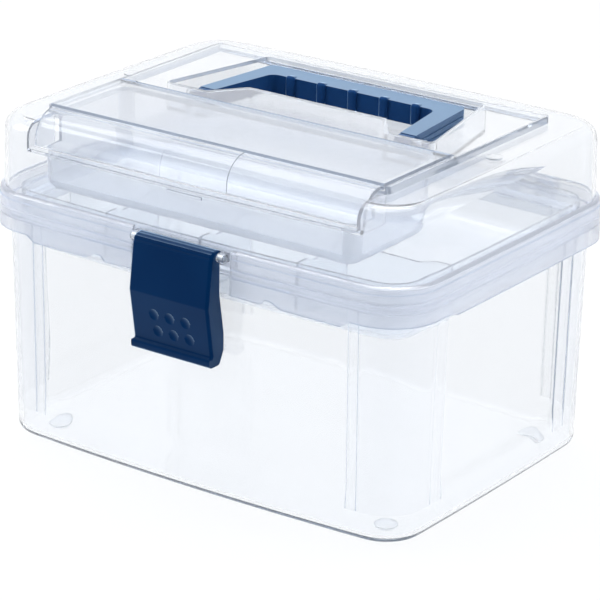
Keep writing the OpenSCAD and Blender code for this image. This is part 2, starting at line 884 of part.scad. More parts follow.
// The latch seen from its end; t moves the front skin inward
function latch_outline(t) = let (
    top_z = latch_axis_z + latch_barrel_r,
    bevel = 1.5,
    head = latch_barrel_r + bevel,
    foot_y = latch_fold_y + latch_lean,
    lip_y = foot_y - 2,
    wall_y = -top_hd - 1 - gap
) [
    [latch_axis_y + latch_wall, top_z - t],
    [latch_axis_y - latch_barrel_r + t, top_z - t],
    [latch_axis_y - head + t, top_z - bevel - t],
    [latch_fold_y + t, latch_fold_z],
    [foot_y + t, latch_low_z + lip_h],
    [lip_y + t, latch_low_z + lip_h * 0.4],
    [foot_y + t, latch_low_z + t],
    [foot_y + lip_h, latch_low_z + t],
    [wall_y, latch_low_z + lip_h],
    [wall_y, latch_low_z + 2 * lip_h],
    [latch_back_y, latch_fold_z + lip_h],
    [latch_back_y, latch_axis_z]
];

// Two rows of three shallow dimples, square to the lower panel
module latch_dimples() {
    rows = 2;
    columns = 3;
    row_shift = 1.4;
    depth = 0.8;
    first_drop = 11.5;
    tilt = atan(latch_lean / (latch_fold_z - latch_low_z - lip_h));
    for (row = [0 : rows - 1])
        for (column = [0 : columns - 1])
            translate([
                (column - (columns - 1) / 2) * dimple_pitch + row * row_shift,
                latch_fold_y,
                latch_fold_z
            ])
                rotate([tilt - 90, 0, 0])
                    translate([0, first_drop + row * dimple_row_pitch, -over])
                        cylinder(r = dimple_d / 2, h = depth + over);
}

module front_latch() {
    hw = latch_w / 2;
    inner_hw = hw - latch_wall;
    color([0.05, 0.14, 0.32])
        difference() {
            union() {
                difference() {
                    side_view(-hw, hw, latch_outline(0));
                    side_view(-inner_hw, inner_hw, latch_outline(latch_wall));
                    block(
                        [-inner_hw, latch_back_y - latch_wall, latch_low_z + latch_wall],
                        [inner_hw, 0, flange_z]
                    );
                }
                rod(-hw, hw, latch_axis_y, latch_axis_z, latch_barrel_r);
                block(
                    [-inner_hw - over, latch_axis_y - latch_barrel_r, latch_axis_z],
                    [inner_hw + over, latch_axis_y, latch_axis_z + latch_barrel_r]
                );
                latch_hook();
            }
            latch_dimples();
            rod(-hw - over, hw + over, latch_axis_y, latch_axis_z, latch_pin_r + run_fit);
        }
}

// The bar that snaps under the bin's catch
module latch_hook() {
    hw = catch_hw - 1;
    h = 2;
    z1 = catch_z - catch_h - 2.6;
    block([-hw, latch_fold_y + latch_wall / 2, z1 - h], [hw, catch_y - gap, z1]);
}

// The tray's drafted pan; t is its wall's thickness on the inner side
module tray_pan(t, z1) {
    z0 = tray_z0 + t;
    loft(
        [z0, z0 + tray_bevel_h, z1],
        [tray_plan(-tray_draft - tray_bevel - t), tray_plan(-tray_draft - t), tray_plan(-t)]
    );
}

// The flange that rests on the bin's ledge, notched behind the latch to clear the lid's wall
module tray_flange() {
    z1 = tray_flange_z0 + tray_flange_t;
    notch_hw = latch_gap_w / 2 + lid_wall + 1;
    difference() {
        plate(tray_flange_z0, z1, ledge_plan(-gap - 0.1));
        block(
            [-notch_hw, -rim_hd, tray_flange_z0 - over],
            [notch_hw, -lid_hd + lid_wall + gap, z1 + over]
        );
    }
}

module lift_out_tray() {
    color([0.88, 0.92, 0.95, 0.5])
        difference() {
            union() {
                tray_pan(0, tray_top_z);
                tray_flange();
            }
            tray_pan(tray_wall, tray_top_z + over);
        }
}

// A wavy-topped divider drawn in its own plane, from u0 to u1, its lower corners cut to the tray's bevel
function divider_outline(u0, u1, z0, z1) = let (
    steps = 24,
    waves = 2
) concat(
    [[u0, z0 + tray_bevel_h], [u0 + tray_bevel, z0], [u1 - tray_bevel, z0], [u1, z0 + tray_bevel_h]],
    [for (i = [steps : -1 : 0]) [
        u0 + (u1 - u0) * i / steps,
        z1 - divider_dip * (1 - cos(360 * waves * i / steps)) / 2
    ]]
);

module long_divider() {
    hw = tray_floor_hw - gap;
    color([0.88, 0.92, 0.95, 0.5])
        translate([0, long_divider_y, 0])
            rotate([90, 0, 0])
                linear_extrude(height = divider_t, center = true)
                    polygon(divider_outline(-hw, hw, tray_z0 + tray_wall, tray_top_z - divider_drop));
}

module short_dividers_set() {
    y0 = gap - tray_floor_hd;
    y1 = long_divider_y - divider_t / 2;
    color([0.88, 0.92, 0.95, 0.5])
        for (i = [0 : short_dividers - 1])
            translate([(i - (short_dividers - 1) / 2) * short_divider_pitch, 0, 0])
                side_view(
                    -divider_t / 2,
                    divider_t / 2,
                    divider_outline(y0, y1, tray_z0 + tray_wall, tray_top_z - divider_drop)
                );
}

bin();
bin_feet();
lid_hinge_pins();
lid();
lid_compartment();
handle_well();
latch_pin();
flap_hinge_pins();
flap_cover();
carry_handle();
front_latch();
lift_out_tray();
long_divider();
short_dividers_set();
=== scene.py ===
import math

import bmesh
import bpy
from mathutils import Matrix, Vector


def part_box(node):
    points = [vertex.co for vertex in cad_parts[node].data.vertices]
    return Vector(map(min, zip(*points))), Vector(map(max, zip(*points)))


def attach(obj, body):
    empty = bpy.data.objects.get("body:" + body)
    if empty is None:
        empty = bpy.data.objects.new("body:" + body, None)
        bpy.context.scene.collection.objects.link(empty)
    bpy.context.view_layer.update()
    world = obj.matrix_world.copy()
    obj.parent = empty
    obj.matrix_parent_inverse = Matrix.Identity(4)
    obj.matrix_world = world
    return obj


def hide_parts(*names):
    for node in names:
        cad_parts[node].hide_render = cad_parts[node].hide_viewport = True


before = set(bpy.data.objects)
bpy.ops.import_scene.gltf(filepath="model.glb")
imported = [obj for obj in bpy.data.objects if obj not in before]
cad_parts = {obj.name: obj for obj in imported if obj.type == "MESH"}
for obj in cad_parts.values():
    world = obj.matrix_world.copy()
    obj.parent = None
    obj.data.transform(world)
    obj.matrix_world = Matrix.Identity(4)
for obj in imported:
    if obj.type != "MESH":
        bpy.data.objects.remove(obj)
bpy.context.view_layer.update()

# Sizes in metres; the front is towards -Y and the floor is at height 0
MM = 0.001
CLOSE = 0.00005
OVERLAP = 0.01 * MM
MERGE_WITHIN = 0.02 * MM
PIN_PLAY = 0.03 * MM
CUT_ABOVE = 4 * MM
SOFT_EDGE = 0.35 * MM
THIN_EDGE = 0.3 * MM
X, Y, Z = range(3)
UP, DOWN = 1, -1

# Clear plastic's milk, how much more of it there is on hazy faces, and the painted blue-grey shade on faces
# marked as lines
MILK_COLOR = (0.87, 0.88, 0.93, 1)
HAZE_COLOR = (0.70, 0.715, 0.79, 1)
# Painted shade: the dark blue-grey that faces marked as lines take
PAINTED_LINE_SHADE = (0.37, 0.44, 0.55, 1)
HAZE_MILK = 0.26
# How much of the painted line shade a face marked as a line takes
PAINTED_LINE_SHARE = 0.6

# Places that the frame gives
BIN_LOW, BIN_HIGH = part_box("bin")
LID_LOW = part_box("lid")[0]
TRAY_LOW, TRAY_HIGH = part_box("lift_out_tray")
TUB_LOW, TUB_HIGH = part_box("lid_compartment")
FLAP_LOW, FLAP_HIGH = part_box("flap_cover")
FLAP_PIN_LOW, FLAP_PIN_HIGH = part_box("flap_hinge_pins")
HANDLE_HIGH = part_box("carry_handle")[1]
LATCH_LOW, LATCH_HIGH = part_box("front_latch")
LATCH_PIN_LOW, LATCH_PIN_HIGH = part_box("latch_pin")
HINGE_PIN_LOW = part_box("lid_hinge_pins")[0]
LONG_LOW, LONG_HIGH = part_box("long_divider")
SHORT_LOW, SHORT_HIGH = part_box("short_dividers_set")

# Bin and its rim
RIM_Z = LID_LOW.z + 4.25 * MM
FLOOR_Z = BIN_LOW.z
RIM_HALF_W = BIN_HIGH.x
RIM_HALF_D = 102.9 * MM
RIM_BOW = 1.5 * MM
RIM_END_BOW = 0.4 * MM
RIM_CORNER = 28 * MM
RIM_FLAT_W = RIM_HALF_W - RIM_END_BOW
RIM_FLAT_D = RIM_HALF_D - RIM_BOW
SKIRT_H = 13.4 * MM
SKIRT_T = 2.2 * MM
RIM_TOP_T = 5 * MM
LEDGE_WALL = 3.8 * MM
LEDGE_DEPTH = 4.6 * MM
WALL = 2.4 * MM
WALL_HALF_W = 131 * MM
WALL_HALF_D = 98 * MM
WALL_BOW = 3.4 * MM
WALL_END_BOW = 0.8 * MM
WALL_FLAT_W = WALL_HALF_W - WALL_END_BOW
WALL_FLAT_D = WALL_HALF_D - WALL_BOW
WALL_TOP_Z = RIM_Z - RIM_TOP_T
DRAFT = 1.8 * MM
FLOOR_EDGE_R = 5 * MM


def choose(piece):
    """Selects one piece and nothing else"""
    bpy.ops.object.select_all(action="DESELECT")
    piece.select_set(True)
    bpy.context.view_layer.objects.active = piece


def edit(piece):
    """Opens one piece in edit mode"""
    choose(piece)
    bpy.ops.object.mode_set(mode="EDIT")


def close():
    bpy.ops.object.mode_set(mode="OBJECT")


def pick(kind, test):
    """Selects the faces, edges or points that pass a test, and nothing else"""
    bpy.ops.mesh.select_mode(type=kind)
    bpy.ops.mesh.select_all(action="DESELECT")
    shape = bmesh.from_edit_mesh(bpy.context.edit_object.data)
    parts = {"FACE": shape.faces, "EDGE": shape.edges, "VERT": shape.verts}[kind]
    for part in parts:
        if test(part):
            part.select_set(True)
    shape.select_flush_mode()
    bmesh.update_edit_mesh(bpy.context.edit_object.data)


def middle(part):
    """The middle of an edge"""
    return (part.verts[0].co + part.verts[1].co) / 2


def pick_all():
    bpy.ops.mesh.select_all(action="SELECT")


def face_outward():
    pick_all()
    bpy.ops.mesh.normals_make_consistent(inside=False)


def close_solid():
    """Turns the faces outward and leaves edit mode"""
    face_outward()
    close()


def level_faces(height, side):
    """A test for the level faces at a height that look up or down"""
    return lambda face: abs(face.calc_center_median().z - height) < CLOSE and face.normal.z * side > 0.9


def plate_at(height, side):
    """Selects the largest level face at a height that looks up or down"""
    face_outward()
    shape = bmesh.from_edit_mesh(bpy.context.edit_object.data)
    shape.faces.ensure_lookup_table()
    level = filter(level_faces(height, side), shape.faces)
    largest = max(level, key=lambda face: face.calc_area())
    pick("FACE", lambda face: face == largest)


def push(x=0, z=0):
    """Extrudes what is selected"""
    bpy.ops.mesh.extrude_region_move(TRANSFORM_OT_translate={"value": (x, 0, z)})


def inset(width):
    bpy.ops.mesh.inset(thickness=width, use_even_offset=True)


def selected_points():
    shape = bmesh.from_edit_mesh(bpy.context.edit_object.data)
    return [point.co.copy() for point in shape.verts if point.select]


def fit(half_w, half_d):
    """Scales what is selected to a width and depth about its own middle"""
    points = selected_points()
    xs = [point.x for point in points]
    ys = [point.y for point in points]
    centre = ((min(xs) + max(xs)) / 2, (min(ys) + max(ys)) / 2, points[0].z)
    wide = 2 * half_w / (max(xs) - min(xs))
    deep = 2 * half_d / (max(ys) - min(ys))
    bpy.ops.transform.resize(value=(wide, deep, 1), center_override=centre)


def round_edge(radius, steps):
    """Rounds the edge around the selected face"""
    bpy.ops.mesh.region_to_loop()
    bpy.ops.mesh.bevel(offset=radius, segments=steps, profile=0.5, affect="EDGES")


def cut(axis, place):
    """Adds a row of points across what is selected, square to an axis"""
    point = [0, 0, 0]
    point[axis] = place
    normal = [0, 0, 0]
    normal[axis] = 1
    bpy.ops.mesh.bisect(plane_co=point, plane_no=normal)


def cut_all(axis, places):
    for place in places:
        pick_all()
        cut(axis, place)


def new_piece(name, scale=(1, 1, 1)):
    """Names the piece that was just added, scales it and applies its placing"""
    piece = bpy.context.object
    piece.name = name
    piece.data.name = name
    piece.scale = scale
    bpy.ops.object.transform_apply(location=True, rotation=True, scale=True)
    return piece


def outline(name, half_w, half_d, height, corner, centre=(0, 0), side_points=40, corner_steps=12):
    """A level plate with round corners and points along its sides, left in edit mode"""
    bpy.ops.mesh.primitive_plane_add(size=2, location=(centre[0], centre[1], height))
    piece = new_piece(name, (half_w, half_d, 1))
    edit(piece)
    pick_all()
    bpy.ops.mesh.bevel(offset=corner, segments=corner_steps, affect="VERTICES")
    pick_all()
    bpy.ops.mesh.delete(type="ONLY_FACE")
    long_edge = 2 * corner
    pick("EDGE", lambda edge: edge.calc_length() > long_edge)
    bpy.ops.mesh.subdivide(number_cuts=side_points)
    pick_all()
    bpy.ops.mesh.edge_face_add()
    bpy.ops.mesh.select_mode(type="FACE")
    pick_all()
    return piece


def block(name, corner, opposite, round_r=0, steps=4):
    """A box between two opposite corners, with rounded edges where they are asked for"""
    corner, opposite = Vector(corner), Vector(opposite)
    bpy.ops.mesh.primitive_cube_add(size=1, location=(corner + opposite) / 2)
    piece = new_piece(name, [abs(size) for size in opposite - corner])
    if round_r:
        edit(piece)
        pick_all()
        bpy.ops.mesh.bevel(offset=round_r, segments=steps, affect="EDGES")
        close()
    return piece


def bar(name, half_w, corner, opposite):
    """A box that is centred in X, between two opposite corners of its side view"""
    return block(name, (-half_w, *corner), (half_w, *opposite))


def rod(name, end_x, other_x, y, z, radius, steps=32):
    """A rod along X between two ends"""
    bpy.ops.mesh.primitive_cylinder_add(
        vertices=steps,
        radius=radius,
        depth=abs(other_x - end_x),
        location=((end_x + other_x) / 2, y, z),
        rotation=(0, math.pi / 2, 0),
    )
    return new_piece(name)


def axle(name, half_w, y, z, radius, steps=32):
    """A rod along X that is centred in X"""
    return rod(name, -half_w, half_w, y, z, radius, steps)


def post(name, x, y, low_z, high_z, radius):
    """An upright round post"""
    bpy.ops.mesh.primitive_cylinder_add(
        vertices=40,
        radius=radius,
        depth=high_z - low_z,
        location=(x, y, (low_z + high_z) / 2),
    )
    return new_piece(name)


def modify(piece, kind, **settings):
    """Adds one modifier and applies it"""
    choose(piece)
    modifier = piece.modifiers.new(kind.title(), kind)
    for name, value in settings.items():
        setattr(modifier, name, value)
    bpy.ops.object.modifier_apply(modifier=modifier.name)


def combine(piece, other, operation):
    """Adds another shape to a piece, or takes it away, and drops the other shape"""
    modify(piece, "BOOLEAN", object=other, operation=operation, solver="EXACT")
    bpy.data.objects.remove(other)


def take(piece, *others):
    for other in others:
        combine(piece, other, "DIFFERENCE")


def add(piece, *others):
    for other in others:
        combine(piece, other, "UNION")


def move_points(piece, rule):
    """Moves every point of a piece to where a rule puts it"""
    for point in piece.data.vertices:
        point.co = rule(point.co)
    piece.data.update()


def ramp(value, low, high):
    """0 below low, 1 above high, and an S-curve between"""
    share = min(max((value - low) / (high - low), 0), 1)
    return share * share * (3 - 2 * share)


def bowed(flat_w, flat_d, corner, bows):
    """A rule that bulges the sides; bows lists how far out each bulge holds and how large it is"""
    reach_x = flat_w - corner
    reach_y = flat_d - corner

    def bulge(distance, index):
        previous = (0, 0)
        for step in bows:
            place, size = step[0][index], step[1][index]
            if distance <= place:
                share = (distance - previous[0]) / (place - previous[0])
                return previous[1] + (size - previous[1]) * share
            previous = (place, size)
        return previous[1]

    def rule(point):
        x, y, z = point
        along_x = max(0, 1 - (x / reach_x) ** 2)
        along_y = max(0, 1 - (y / reach_y) ** 2)
        return Vector((
            x + math.copysign(bulge(abs(x), 0) * along_y, x),
            y + math.copysign(bulge(abs(y), 1) * along_x, y),
            z,
        ))

    return rule


def tidy(piece, edge, steps=2, angle=35):
    """Closes a piece's mesh, turns its faces outward, softens its edges and shades it"""
    edit(piece)
    pick_all()
    bpy.ops.mesh.remove_doubles(threshold=MERGE_WITHIN)
    close_solid()
    modify(
        piece, "BEVEL", width=edge, segments=steps, limit_method="ANGLE",
        angle_limit=math.radians(angle), use_clamp_overlap=True,
    )
    choose(piece)
    bpy.ops.object.shade_smooth_by_angle(angle=math.radians(angle))
    modify(piece, "WEIGHTED_NORMAL", mode="FACE_AREA", weight=50, keep_sharp=True)


def wear(piece, material, body, slot, *nodes):
    """Gives a piece its material and its body, and hides the nodes that it stands for; its slot is not used
    """
    piece.data.materials.clear()
    piece.data.materials.append(material)
    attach(piece, body)
    if nodes:
        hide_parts(*nodes)


def mark_faces(piece, **rules):
    """Writes what each rule says on every face, 0 for none of it, for the piece's material to read"""
    for name, rule in rules.items():
        layer = piece.data.attributes.new(name, "FLOAT", "FACE")
        for face, entry in zip(piece.data.polygons, layer.data):
            entry.value = rule(face.center, face.normal)


def dress(node, material):
    """Gives a CAD node that stays its material"""
    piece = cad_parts[node]
    piece.data.materials.clear()
    piece.data.materials.append(material)


class Look:
    """A node-based material, or the node-based world"""

    def __init__(self, name, kind="Material"):
        store = bpy.data.worlds if kind == "World" else bpy.data.materials
        self.material = store.new(name)
        self.material.use_nodes = True
        self.tree = self.material.node_tree
        self.tree.nodes.clear()
        self.end = self.tree.nodes.new("ShaderNodeOutput" + kind)

    def node(self, kind, sockets=None, **settings):
        """Adds a node: its settings first, then the values or links of its sockets"""
        made = self.tree.nodes.new("ShaderNode" + kind)
        for name, value in settings.items():
            setattr(made, name, value)
        for name, value in (sockets or {}).items():
            self.feed(made.inputs[name], value)
        return made

    def shader(self, kind, sockets):
        return self.node(kind, sockets).outputs[0]

    def feed(self, socket, value):
        if isinstance(value, Value):
            value = value.socket
        if isinstance(value, bpy.types.NodeSocket):
            self.tree.links.new(value, socket)
        else:
            socket.default_value = value

    def value(self, socket):
        return Value(self, socket)

    def mix_color(self, factor, low, high):
        made = self.node("Mix", {"Factor": factor, 6: low, 7: high}, data_type="RGBA")
        return made.outputs[2]

    def mix_shader(self, factor, low, high):
        return self.shader("MixShader", {"Fac": factor, 1: low, 2: high})

    def mark(self, name):
        """What mark_faces wrote on the piece"""
        made = self.node("Attribute", attribute_name=name, attribute_type="GEOMETRY")
        return self.value(made.outputs["Fac"])

    def noise(self, scale, detail=2.0):
        place = self.node("TexCoord").outputs["Object"]
        made = self.node("TexNoise", {"Vector": place, "Scale": scale, "Detail": detail})
        return self.value(made.outputs["Fac"])

    def bump(self, height, strength, distance):
        return self.shader("Bump", {"Height": height, "Strength": strength, "Distance": distance})

    def surface(self, shader):
        self.tree.links.new(shader, self.end.inputs["Surface"])

    def inside(self, shader):
        self.tree.links.new(shader, self.end.inputs["Volume"])


class Value:
    """A number in a material; each operator adds its Math node"""

    def __init__(self, look, socket):
        self.look = look
        self.socket = socket

    def math(self, operation, first, second, clamp=False):
        made = self.look.node("Math", {0: first, 1: second}, operation=operation, use_clamp=clamp)
        return Value(self.look, made.outputs[0])

    def __add__(self, other):
        return self.math("ADD", self, other)

    def __radd__(self, other):
        return self.math("ADD", other, self)

    def __sub__(self, other):
        return self.math("SUBTRACT", self, other)

    def __mul__(self, other):
        return self.math("MULTIPLY", self, other)


def clear_plastic(name, tint, milk, density):
    """Clear moulded plastic: a little milk in it, and a blue-grey depth that shows on its edges

    Faces marked as haze are milkier and duller. Faces marked as lines get a painted blue-grey shade, which
    stands in for the dark lines that refraction and the plastic's depth show along narrow steps and rounded
    edges.
    """
    look = Look(name)
    haze = look.mark("haze")
    line = look.mark("line")
    ripple = look.noise(55, 1.5)
    grain = look.noise(900, 2.0)
    skin = look.bump(ripple * 0.85 + grain * 0.15, 0.12, 0.4 * MM)
    cloud = (look.noise(14, 2.0) - 0.5) * (0.35 * milk)
    milk_share = milk + cloud + haze * HAZE_MILK + line * PAINTED_LINE_SHARE
    deeper = tuple(0.97 * share for share in tint[:3]) + (1,)
    clear = look.shader("BsdfPrincipled", {
        "Base Color": look.mix_color(look.noise(20, 1.0), tint, deeper),
        "Roughness": 0.03 + haze * 0.12,
        "IOR": 1.46,
        "Transmission Weight": 1.0,
        "Normal": skin,
    })
    dull = look.mix_color(haze, MILK_COLOR, HAZE_COLOR)
    # Painted shade: faces marked as lines turn from the milk's colour to a dark blue-grey, for the dark
    # lines that refraction shows along steps and edges
    milky = look.shader("BsdfPrincipled", {
        "Base Color": look.mix_color(line, dull, PAINTED_LINE_SHADE),
        "Roughness": 0.25,
        "Normal": skin,
    })
    body = look.mix_shader(milk_share, clear, milky)
    shadow = look.node("LightPath").outputs["Is Shadow Ray"]
    passing = look.shader("BsdfTransparent", {"Color": (0.98, 0.985, 0.99, 1)})
    look.surface(look.mix_shader(shadow, body, passing))
    look.inside(look.shader("VolumeAbsorption", {"Color": (0.50, 0.68, 0.86, 1), "Density": density}))
    return look.material


def navy_plastic(name, deep, light):
    """Deep navy plastic with a painted pale blue sheen where it is seen along the surface"""
    look = Look(name)
    cloud = look.noise(35, 3.0)
    grain = look.noise(1500, 2.0)
    skin = look.bump(grain, 0.08, 0.1 * MM)
    body = look.shader("BsdfPrincipled", {
        "Base Color": look.mix_color(cloud, deep, light),
        "Roughness": 0.26 + cloud * 0.08,
        "IOR": 1.5,
        "Specular IOR Level": 0.06,
        # Painted reflection: the plastic's own gloss is tinted blue
        "Specular Tint": (0.2, 0.6, 1.0, 1),
        "Normal": skin,
    })
    # Painted sheen: a pale blue metallic layer, mixed in where the surface is seen edge-on, stands in for
    # the studio's reflection on the navy skin
    painted_sheen = look.shader("BsdfPrincipled", {
        "Base Color": (0.54, 0.78, 1.0, 1),
        "Metallic": 1.0,
        "Roughness": 0.3 + cloud * 0.08,
        "Normal": skin,
    })
    along = look.value(look.node("LayerWeight", {"Blend": 0.5}).outputs["Facing"])
    share = along.math("POWER", along, 4.5) * 1.9
    look.surface(look.mix_shader(share, body, painted_sheen))
    return look.material


def pin_steel(name):
    look = Look(name)
    brush = look.noise(420, 3.0)
    look.surface(look.shader("BsdfPrincipled", {
        "Base Color": look.mix_color(brush, (0.62, 0.64, 0.67, 1), (0.78, 0.79, 0.81, 1)),
        "Metallic": 1.0,
        "Roughness": 0.24 + brush * 0.14,
        "Normal": look.bump(brush, 0.1, 0.05 * MM),
    }))
    return look.material


def foot_rubber(name):
    """Soft clear rubber"""
    look = Look(name)
    cloud = look.noise(160, 2.0)
    look.surface(look.shader("BsdfPrincipled", {
        "Base Color": look.mix_color(cloud, (0.93, 0.95, 0.98, 1), (0.97, 0.98, 1.0, 1)),
        "Roughness": 0.3 + cloud * 0.1,
        "Transmission Weight": 0.85,
        "IOR": 1.4,
    }))
    return look.material


def cut_level(height, side, axis, places):
    """Cuts the level faces at a height across an axis"""
    for place in places:
        pick("FACE", level_faces(height, side))
        cut(axis, place)


def within(face, low, high):
    """Whether a face's middle lies between two corners of a plan"""
    x, y = face.calc_center_median().xy
    return low[0] < x < high[0] and low[1] < y < high[1]


def corner_reach(before, corner, after, radius):
    """How far along its sides a corner's rounding starts"""
    first = (Vector(before) - Vector(corner)).normalized()
    second = (Vector(after) - Vector(corner)).normalized()
    return radius / math.tan(first.angle(second) / 2)


def sheet_of(name, corners, place, steps=5):
    """A flat face with rounded corners, left in edit mode: a corner is its two places and its radius"""
    bpy.ops.mesh.primitive_circle_add(vertices=len(corners), radius=1, fill_type="NGON")
    piece = new_piece(name)
    for point, corner in zip(piece.data.vertices, corners):
        point.co = place(corner[0], corner[1])
    edit(piece)
    for index, corner in enumerate(corners):
        if corner[2]:
            before = corners[index - 1][:2]
            after = corners[(index + 1) % len(corners)][:2]
            reach = corner_reach(before, corner[:2], after, corner[2])
            spot = place(corner[0], corner[1])
            pick("VERT", lambda point: (point.co - spot).length < CLOSE)
            bpy.ops.mesh.bevel(offset=reach, segments=steps, affect="VERTICES")
    bpy.ops.mesh.select_mode(type="FACE")
    pick_all()
    return piece


def plan_block(name, corners, low_z, high_z, steps=5):
    """A plan drawn upward"""
    piece = sheet_of(name, corners, lambda x, y: Vector((x, y, low_z)), steps)
    push(z=high_z - low_z)
    close_solid()
    return piece


def side_block(name, corners, end_x, other_x, steps=5):
    """A side view, in Y and Z, drawn out along X between two ends"""
    low_x, high_x = sorted((end_x, other_x))
    piece = sheet_of(name, corners, lambda y, z: Vector((low_x, y, z)), steps)
    push(x=high_x - low_x)
    close_solid()
    return piece


# Bin's corner columns, and the lower edge of its skirt
PANEL_SINK = 1 * MM
SKIN_DEPTH = 1.6 * MM
SKIN_CORNER_IN = 7.7 * MM
PANEL_EDGE_X = (97.8 * MM, 103 * MM)
PANEL_EDGE_BACK = (53.8 * MM, 63 * MM)
PANEL_EDGE_FRONT = (55 * MM, 64 * MM)
PANEL_STEP_W = 0.9 * MM
PANEL_FADE = (FLOOR_Z + 16 * MM, FLOOR_Z + 30 * MM)
SKIRT_RISE = 2 * MM
SKIRT_TURN_X = (98.5 * MM, 102 * MM)
SKIRT_TURN_Y = (55 * MM, 61 * MM)
SKIRT_TILT = (-0.3 * MM, -1.4 * MM)
NOTCH_X = (49.4 * MM, 52 * MM, 55.5 * MM, 62 * MM)
NOTCH_RISE = 2.7 * MM

# Gap for the latch, and the catch that it snaps under
GAP_HALF_W = 31 * MM
CATCH_HALF_W = 20 * MM
CATCH_LOW_Z = RIM_Z - 10.4 * MM
CATCH_HIGH_Z = RIM_Z - 8.2 * MM
CATCH_FRONT_Y = -101.3 * MM
CATCH_BACK_Y = -96 * MM

# Rear hinges
HINGE_R = 4.39 * MM
HINGE_Y = HINGE_PIN_LOW.y + 1.6 * MM
HINGE_Z = HINGE_PIN_LOW.z + 1.6 * MM
HINGE_PIN_R = 1.62 * MM
HINGE_X = 75 * MM
HINGE_LID_HALF = 7 * MM
HINGE_BIN_SPAN = (7.4 * MM, 15.4 * MM)
HINGE_WEB_H = 9 * MM

# Feet under the floor
FOOT_X = 106.2 * MM
FOOT_Y = 69.5 * MM
FOOT_HOLE_R = 6.05 * MM
FOOT_HOLE_TOP = 2.25 * MM

# Lid
LID_Z = RIM_Z + 0.3 * MM
LID_RIM_T = 2 * MM
FLANGE_LINE_Z = LID_Z + 5.3 * MM
FLANGE_STEP = 0.6 * MM
FLANGE_Z = LID_Z + 9.3 * MM
FLANGE_ROUND = 2 * MM
LID_INSET = 2.9 * MM
LID_TAPER = 0.8 * MM
LID_BOW_W = 12 * MM
LID_WALL = 2 * MM
SHOULDER_Z = LID_Z + 48.3 * MM
SHOULDER_R = 8 * MM
PLATFORM_Z = SHOULDER_Z + 4 * MM
PLATFORM_HALF_W = 107.5 * MM
PLATFORM_FRONT_Y = -77 * MM
PLATFORM_BACK_Y = 72 * MM
PLATFORM_CORNER = 2.5 * MM
SHOULDER_MARK = (116 * MM, 4.5 * MM)
SHOULDER_MARK_R = 4.4 * MM
LID_FRONT_Y = -(RIM_HALF_D - LID_INSET)

# Compartment in the front of the lid, and the ledge that the flap closes on
TUB_HALF_W = TUB_HIGH.x
TUB_MID_Y = (TUB_LOW.y + TUB_HIGH.y) / 2
TUB_HALF_D = (TUB_HIGH.y - TUB_LOW.y) / 2
TUB_CORNER = 9 * MM
TUB_WALL = 1.8 * MM
LIP_LEDGE_Z = PLATFORM_Z - 17.8 * MM
FLAP_SEAT_Z = PLATFORM_Z - 2.6 * MM
OPENING_HALF_W = FLAP_HIGH.x + 0.5 * MM
CHEEK_T = 1.2 * MM
FLAP_CATCH_HALF_W = 11 * MM
FLAP_CATCH_OUT = 0.3 * MM
FLAP_CATCH_DROPS = (2 * MM, 3.4 * MM)

# Flap
FLAP_AXIS_Y = (FLAP_PIN_LOW.y + FLAP_PIN_HIGH.y) / 2
FLAP_AXIS_Z = (FLAP_PIN_LOW.z + FLAP_PIN_HIGH.z) / 2
FLAP_BARREL_R = 2.2 * MM
FLAP_BARREL_LEN = 9 * MM
FLAP_HINGE_ROOM = FLAP_BARREL_R + 0.3 * MM
FLAP_PIN_R = 1.03 * MM
FLAP_BORE_LEN = 12.3 * MM
FLAP_T = 2 * MM
FLAP_TOP_Z = FLAP_HIGH.z - 0.4 * MM
FLAP_STEP = 1.4 * MM
CURL_INSET = 1.6 * MM
CURL_Y = PLATFORM_FRONT_Y - 1 * MM
CURL_HALF_W = FLAP_HIGH.x - CURL_INSET
CURL_ROOM_HALF_W = CURL_HALF_W + 0.5 * MM
CURL_R = 15.8 * MM
# Angles, in degrees, of a narrow facet on the curl that carries a painted shade line
PAINTED_LINE_ANGLES = (10.5, 14)
TAB_HALF_W = 21 * MM
TAB_RISE = 0.6 * MM
HINGE_BAND = 3 * MM
FLAP_BACK_R = 2.5 * MM

# Handle and its well
WELL_FRONT_Y = -5 * MM
WELL_BACK_Y = 67 * MM
WELL_FRONT_HALF_W = 85 * MM
WELL_BACK_HALF_W = 70 * MM
WELL_FLOOR_Z = PLATFORM_Z - 15 * MM
WELL_WALL = 1.6 * MM
WELL_CORNER = 3 * MM
ISLAND_FRONT_HALF_W = 58 * MM
ISLAND_BACK_HALF_W = 44 * MM
ISLAND_BACK_Y = 14 * MM
HANDLE_AXIS_Y = 4 * MM
HANDLE_TOP_Z = HANDLE_HIGH.z
HANDLE_AXIS_Z = HANDLE_TOP_Z - 6.4 * MM
HANDLE_T = 11 * MM
HANDLE_FRONT_HALF_W = 69 * MM
GRIP_HALF_W = 63 * MM
GRIP_FRONT_Y = 47 * MM
LEG_W = 9.5 * MM
LEG_TAPER_LEN = 34 * MM
EYE_R = 6 * MM
PIVOT_R = 2.4 * MM
PIVOT_END = HANDLE_HIGH.x
GROOVE_DROPS = ((3.0 * MM, 3.9 * MM), (6.0 * MM, 6.9 * MM))
GROOVE_DEPTH = 0.5 * MM
RIB_COUNT = 5
RIB_PITCH = 20.2 * MM
RIB_HALF_W = 2.8 * MM
RIB_OUT = 2.1 * MM
RIB_UP = 1.3 * MM
RIB_BACK = 9.5 * MM
RIB_EDGE_R = 1.8 * MM
EAR_GAP = 0.8 * MM
EAR_T = 5 * MM
EAR_WALL = 2.4 * MM

